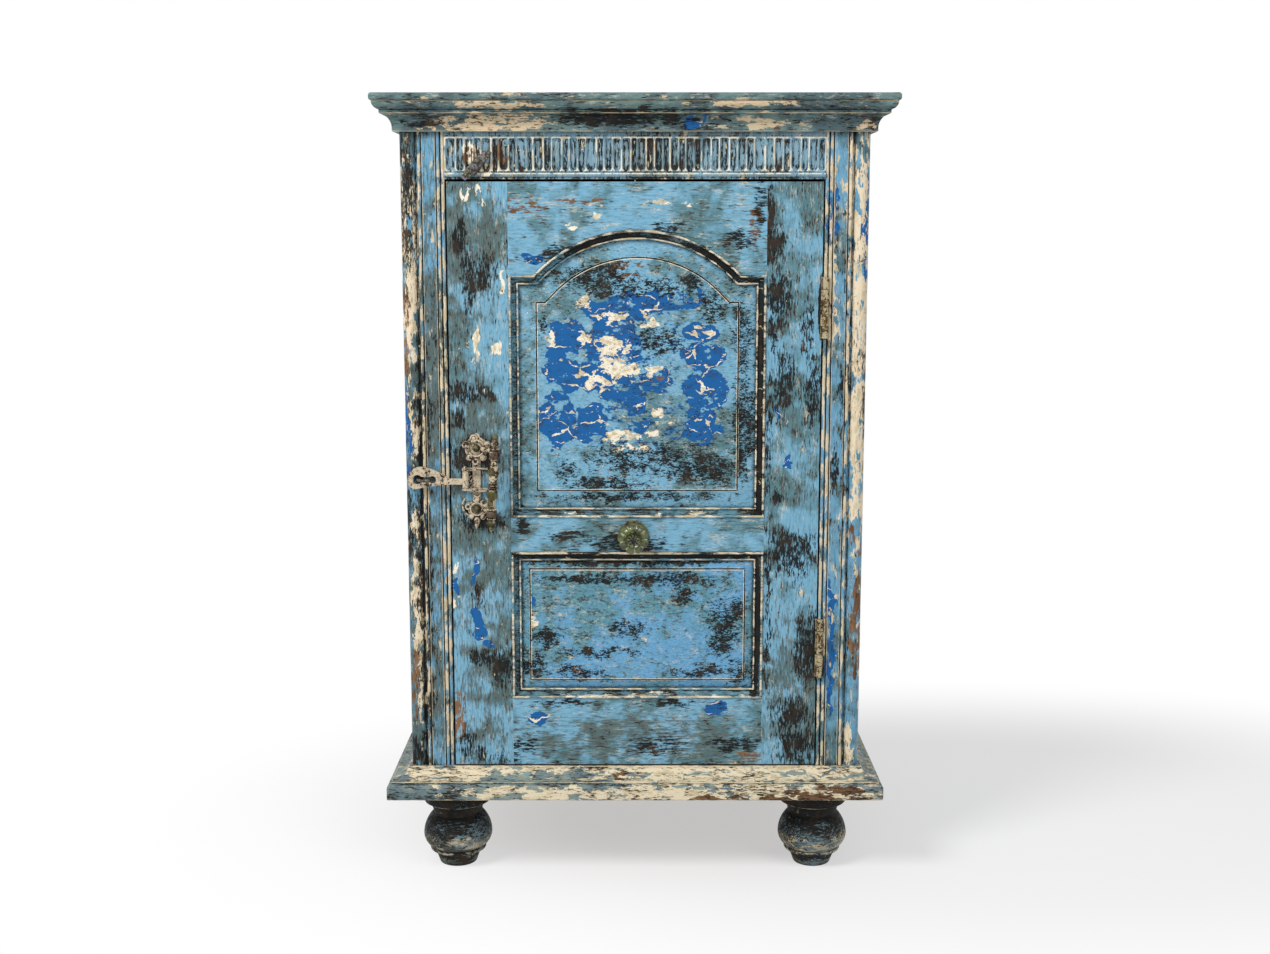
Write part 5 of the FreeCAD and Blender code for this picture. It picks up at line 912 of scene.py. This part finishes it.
def boss(x, z, radius, height, depth):
    """Low dome standing on the plate: a quarter circle turned round its middle."""
    turn = np.linspace(0, np.pi / 2, 7)
    profile = [(radius, -depth + 0.6)] + [(radius * np.cos(a) + 0.01, -depth - height * np.sin(a))
                                          for a in turn]
    return turned([(r, FACE + p) for r, p in profile], (x, 0, z), BACKWARD, 24), 0.0, False


def latch_ornament():
    """Raised work on the latch plate: lobes and rings round both domes, scrolls between the
    lugs, and the drop at the foot."""
    parts = [hoop(PLATE_X, UPPER_DOME, 10.2, 1.3, 4.2), hoop(-202.8, 574.6, 4.0, 1.2, 4.0),
             boss(-202.8, 574.6, 2.7, 1.6, 4.0), hoop(-201.0, 545.0, 3.2, 1.2, 4.2),
             hoop(PLATE_X, LOWER_DOME, 8.0, 1.2, 4.2), hoop(-200.7, 497.0, 3.3, 1.1, 4.2),
             hoop(-211.2, 487.4, 3.0, 1.1, 4.0), boss(-190.0, 480.4, 3.4, 2.0, 4.0)]
    for radius, height, lobe_size, turns in ((14.5, UPPER_DOME, 3.9, (18, 162, 234, 306)),
                                             (11.5, LOWER_DOME, 3.4, (18, 90, 234, 306))):
        for degrees in turns:
            angle = math.radians(degrees)
            parts.append(boss(PLATE_X + radius * math.cos(angle),
                              height + radius * math.sin(angle), lobe_size, 2.2, 4.0))
    depth = FACE - ON_PLATE
    scrolls = (
        (((-208.5, 531.0), (-213.6, 527.5), (-215.4, 519.5), (-212.4, 511.5), (-206.0, 509.5)),
         1.4),
        (((-206.2, 527.5), (-209.8, 523.8), (-207.2, 519.8), (-205.6, 523.4)), 1.0),
        (((-206.4, 518.0), (-210.2, 514.8), (-207.0, 511.8), (-205.4, 515.2)), 1.0),
        (((-188.6, 500.0), (-185.8, 494.0), (-190.4, 488.4), (-194.6, 493.0), (-191.4, 496.4)),
         1.2),
        (((-214.5, 498.5), (-218.0, 491.5), (-216.0, 482.0), (-210.6, 476.5)), 1.2),
        (((-195.0, 503.0), (-199.0, 499.8), (-205.0, 503.6)), 1.2),
        (((-213.4, 508.0), (-200.0, 507.4), (-187.4, 508.0)), 1.3),
        (((-211.0, 536.0), (-200.0, 536.8), (-187.4, 536.2)), 1.2))
    for places, radius in scrolls:
        line = bent([(x, depth, z) for x, z in places])
        swell = radius * (0.45 + 0.55 * np.sin(np.linspace(0.15, np.pi - 0.15, len(line))))
        parts.append((wire(line, swell, 10), 0.0, False))
    drop = bent([(-200.0, depth + 1.2, 474.0), (-200.2, depth + 0.6, 468.0),
                 (-200.6, depth + 0.8, 463.0), (-201.0, depth + 1.8, 458.6)])
    swell = np.interp(np.arange(CURVE_POINTS), (0, 6, 16, 23), (2.6, 4.2, 2.2, 0.3))
    parts.append((wire(drop, swell, 12), 0.0, False))
    made("latch_ornament", parts, "door", "aged_brass", latch_metal)


def turned_grip():
    """Grip turned between two finials: the profile's places are upward from its middle."""
    profile = [
        (0.2, -62.3), (2.0, -60.5), (2.4, -58), (1.6, -56), (3.6, -54), (5.4, -50.5),
        (3.6, -47.5), (5.4, -46.6), (5.6, -45.2), (4.4, -44.3), (6.2, -43), (6.6, -39),
        (5.4, -35.4), (6.6, -34.4), (6.6, -33), (4.4, -31.6), (3.8, -28), (4.6, -23), (6.2, -17),
        (6.4, -13), (5.4, -9), (4.4, -7.6), (5.8, -6.8), (5.8, -5.6), (4.6, -4.9), (6.0, -4),
        (6.0, -2.8), (4.6, -2), (5.8, -1), (5.6, 0.4), (4.6, 1.4), (5.6, 5), (6.6, 11), (6.4, 16),
        (4.6, 24), (4.0, 28), (5.6, 29.6), (6.4, 31), (5.8, 32.4), (6.6, 33.8), (6.4, 38.4),
        (5.2, 40.2), (6.2, 41.4), (6.0, 43), (3.8, 44.2), (3.4, 46), (4.6, 47.6), (5.0, 50),
        (3.0, 53), (2.2, 54.6), (3.6, 57.4), (2.6, 60.4), (0.2, 62.3)]
    line, crest = fair(profile, 0.3, 0.35)
    rings = turned(line, GRIP_MIDDLE, (math.sin(GRIP_TILT), 0, math.cos(GRIP_TILT)), 28)
    skin("turned_grip", rings, crest[:, None], "door", "aged_brass", grip_metal, ("latch_grip",))


def lobed_knob():
    """Glazed knob: a neck, a full body and a dimpled face turned about its bolt, with nine
    creases that pinch the radius in where the cosine of nine half turns is nothing."""
    line, _ = fair(traced((0.3, -2.4), (9, -2.4), (9, -6.5), (20.4, -23, -4.2, 16),
                         (9.5, -36.4, -4.6, 16), (4.5, -34.4, -0.8, 6), (0.3, -34.0)), 0.6, 0.5)
    count = 144
    pinch = (1 - np.abs(np.cos(LOBES / 2 * all_round(count)))) ** 2.5
    weight = np.interp(line[:, 1], (-37, -35, -30, -20, -10, -6.5), (0.5, 0.9, 1, 0.9, 0.7, 0))
    last = len(line) - 1
    weight = weight * np.interp(np.arange(last + 1), (0, last - 11, last), (1, 1, 0))
    weight = weight[:, None]
    rings = turned(line + (0, FACE), (KNOB_X, 0, KNOB_HEIGHT), BACKWARD, count)
    middle = rings.mean(1, keepdims=True)
    rings = middle + (rings - middle) * (1 - 0.17 * weight * pinch)[..., None]
    rings[..., 1] += 2.2 * weight * pinch * (line[:, 1] < -28)[:, None]
    skin("lobed_knob", rings, -0.5 * weight * pinch ** 2, "door", "olive_glaze", knob_glaze,
         ("ceramic_knob",))


def button_bar():
    """Turn button: a bar with bevelled edges, widest past its middle, on a round boss. Half
    width and thickness are functions of place along it."""
    place = np.array([-21.5, -21.2, -17, -9, -4, 0, 4, 9, 17, 24, 25.7, 26.0])
    half = np.array([3.0, 3.4, 4.2, 5.6, 6.3, 6.5, 6.3, 5.8, 4.9, 3.9, 3.2, 2.8])
    thick = np.array([2.6, 3.0, 3.8, 4.0, 4.0, 4.0, 4.0, 4.0, 4.0, 3.8, 3.0, 2.4])
    across = np.array([-1, -1, -0.93, -0.62, 0.62, 0.93, 1, 1])
    depth = np.array([0, 0.45, 0.8, 1.0, 1.0, 0.8, 0.45, 0])
    side, along = half[:, None] * across, place[:, None]
    lean = math.sqrt(0.5)
    bar = np.stack([BUTTON_X + lean * (along + side), FACE - 4 - thick[:, None] * depth,
                    BUTTON_HEIGHT + lean * (along - side)], -1)
    stem = turned([(6, FACE), (6, FACE - 4.2)], (BUTTON_X, 0, BUTTON_HEIGHT), BACKWARD, 28)
    made("turn_button.shown", [(bar, 0.0, False), (stem, 0.0, False)], "turn_button",
         "rubbed_blue_paint", button_paint, ("turn_button",))


button_bar()
latch_ornament()
turned_grip()
lobed_knob()

panel_moulding("upper_panel_moulding", *UPPER_OPENING, 3)
panel_moulding("lower_panel_moulding", *LOWER_OPENING, 4)
fielded_panel("door_upper_panel", *UPPER_OPENING, 23.0, upper_paint)
fielded_panel("door_lower_panel", *LOWER_OPENING, 12.0, lower_paint)
run_round("cornice", traced((0, 0), (0, 35.3), (28.5, 35.3), (20.5, 25.3, 2.4), (20.5, 20.8),
                           (18, 20.8), (7, 4.5, -3.0, 14), (7, 0)),
          CORNICE_LOW, "rubbed_blue_paint", cornice_paint, 7)
run_round("plinth", traced((0, 0), (0, 38), (4, 38), (4, 35.2), (21.5, 22.8, -3, 12), (24, 22.8),
                          (24, 21), (29, 16, 1.46, 6), (29, 2), (27, 0, 0.59, 4)),
          PLINTH_LOW, "rubbed_cream_paint", plinth_paint, 8)
front_post(-1, "front_post_left")
front_post(1, "front_post_right")
carved_frieze()
for row, y in FOOT_DEPTHS:
    for side_name, x in (("left", -FOOT_ACROSS), ("right", FOOT_ACROSS)):
        bun_foot(f"foot_{row}_{side_name}", x, y, x + y)


# Floor, lamps and camera

def floor_finish():
    """White floor that keeps the cupboard's shadow: part of it is always white to the camera,
    and all of it far from the cupboard."""
    material = bpy.data.materials.new("white_floor")
    g = Graph(material)
    beside = g.vector("MULTIPLY_ADD", g.add("TexCoord").outputs["Object"], (0.8, 1.4, 0.0),
                      (-0.36, -0.07, 0.0))
    white = g.math("MULTIPLY", g.seen(), g.step(g.vector("LENGTH", beside), 0.4, 1.0, 0.5, 1.0))
    plain = g.add("BsdfDiffuse", (0.9, 0.9, 0.9, 1)).outputs[0]
    both = g.add("MixShader", white, plain, g.add("Emission").outputs[0]).outputs[0]
    g.add("OutputMaterial", both)
    return material


def make_floor(reach):
    mesh = bpy.data.meshes.new("floor")
    corners = ((-reach, -reach, 0), (reach, -reach, 0), (reach, reach, 0), (-reach, reach, 0))
    mesh.from_pydata(corners, [], [(0, 1, 2, 3)])
    mesh.materials.append(floor_finish())
    placed("floor", mesh)


def make_world(strength):
    """Even light from all round, seen as white behind the cupboard."""
    world = bpy.data.worlds.new("white_studio")
    bpy.context.scene.world = world
    g = Graph(world)
    level = g.add("MapRange", g.seen(), 0.0, 1.0, strength, 1.0).outputs[0]
    g.add("OutputWorld", g.add("Background", (1, 1, 1, 1), level).outputs[0])


def make_lamp(name, place, aim, size, power):
    data = bpy.data.lights.new(name, "AREA")
    data.shape, data.size, data.energy = "DISK", size, power
    lamp = placed(name, data)
    toward = Vector(aim) - Vector(place)
    lamp.location = place
    lamp.rotation_euler = toward.to_track_quat("-Z", "Y").to_euler()


def make_camera(away, height, turn, lens):
    data = bpy.data.cameras.new("camera")
    data.sensor_width, data.lens = 36.0, lens
    camera = placed("camera", data)
    camera.location = (0.0, FRONT - away, height)
    camera.rotation_euler = (math.radians(turn), 0.0, 0.0)
    bpy.context.scene.camera = camera


make_floor(reach=30.0)
make_world(strength=0.37)
make_lamp("key_lamp", (-1.8, -1.9, 2.7), aim=(0, 0, 0.7), size=1.2, power=78)
make_lamp("fill_lamp", (1.8, -2.2, 2.5), aim=(0, 0, 0.8), size=2.0, power=30)
make_camera(away=2.0, height=0.825, turn=81.47, lens=45.35)
bpy.context.scene.view_settings.view_transform = "Standard"

bpy.context.view_layer.update()
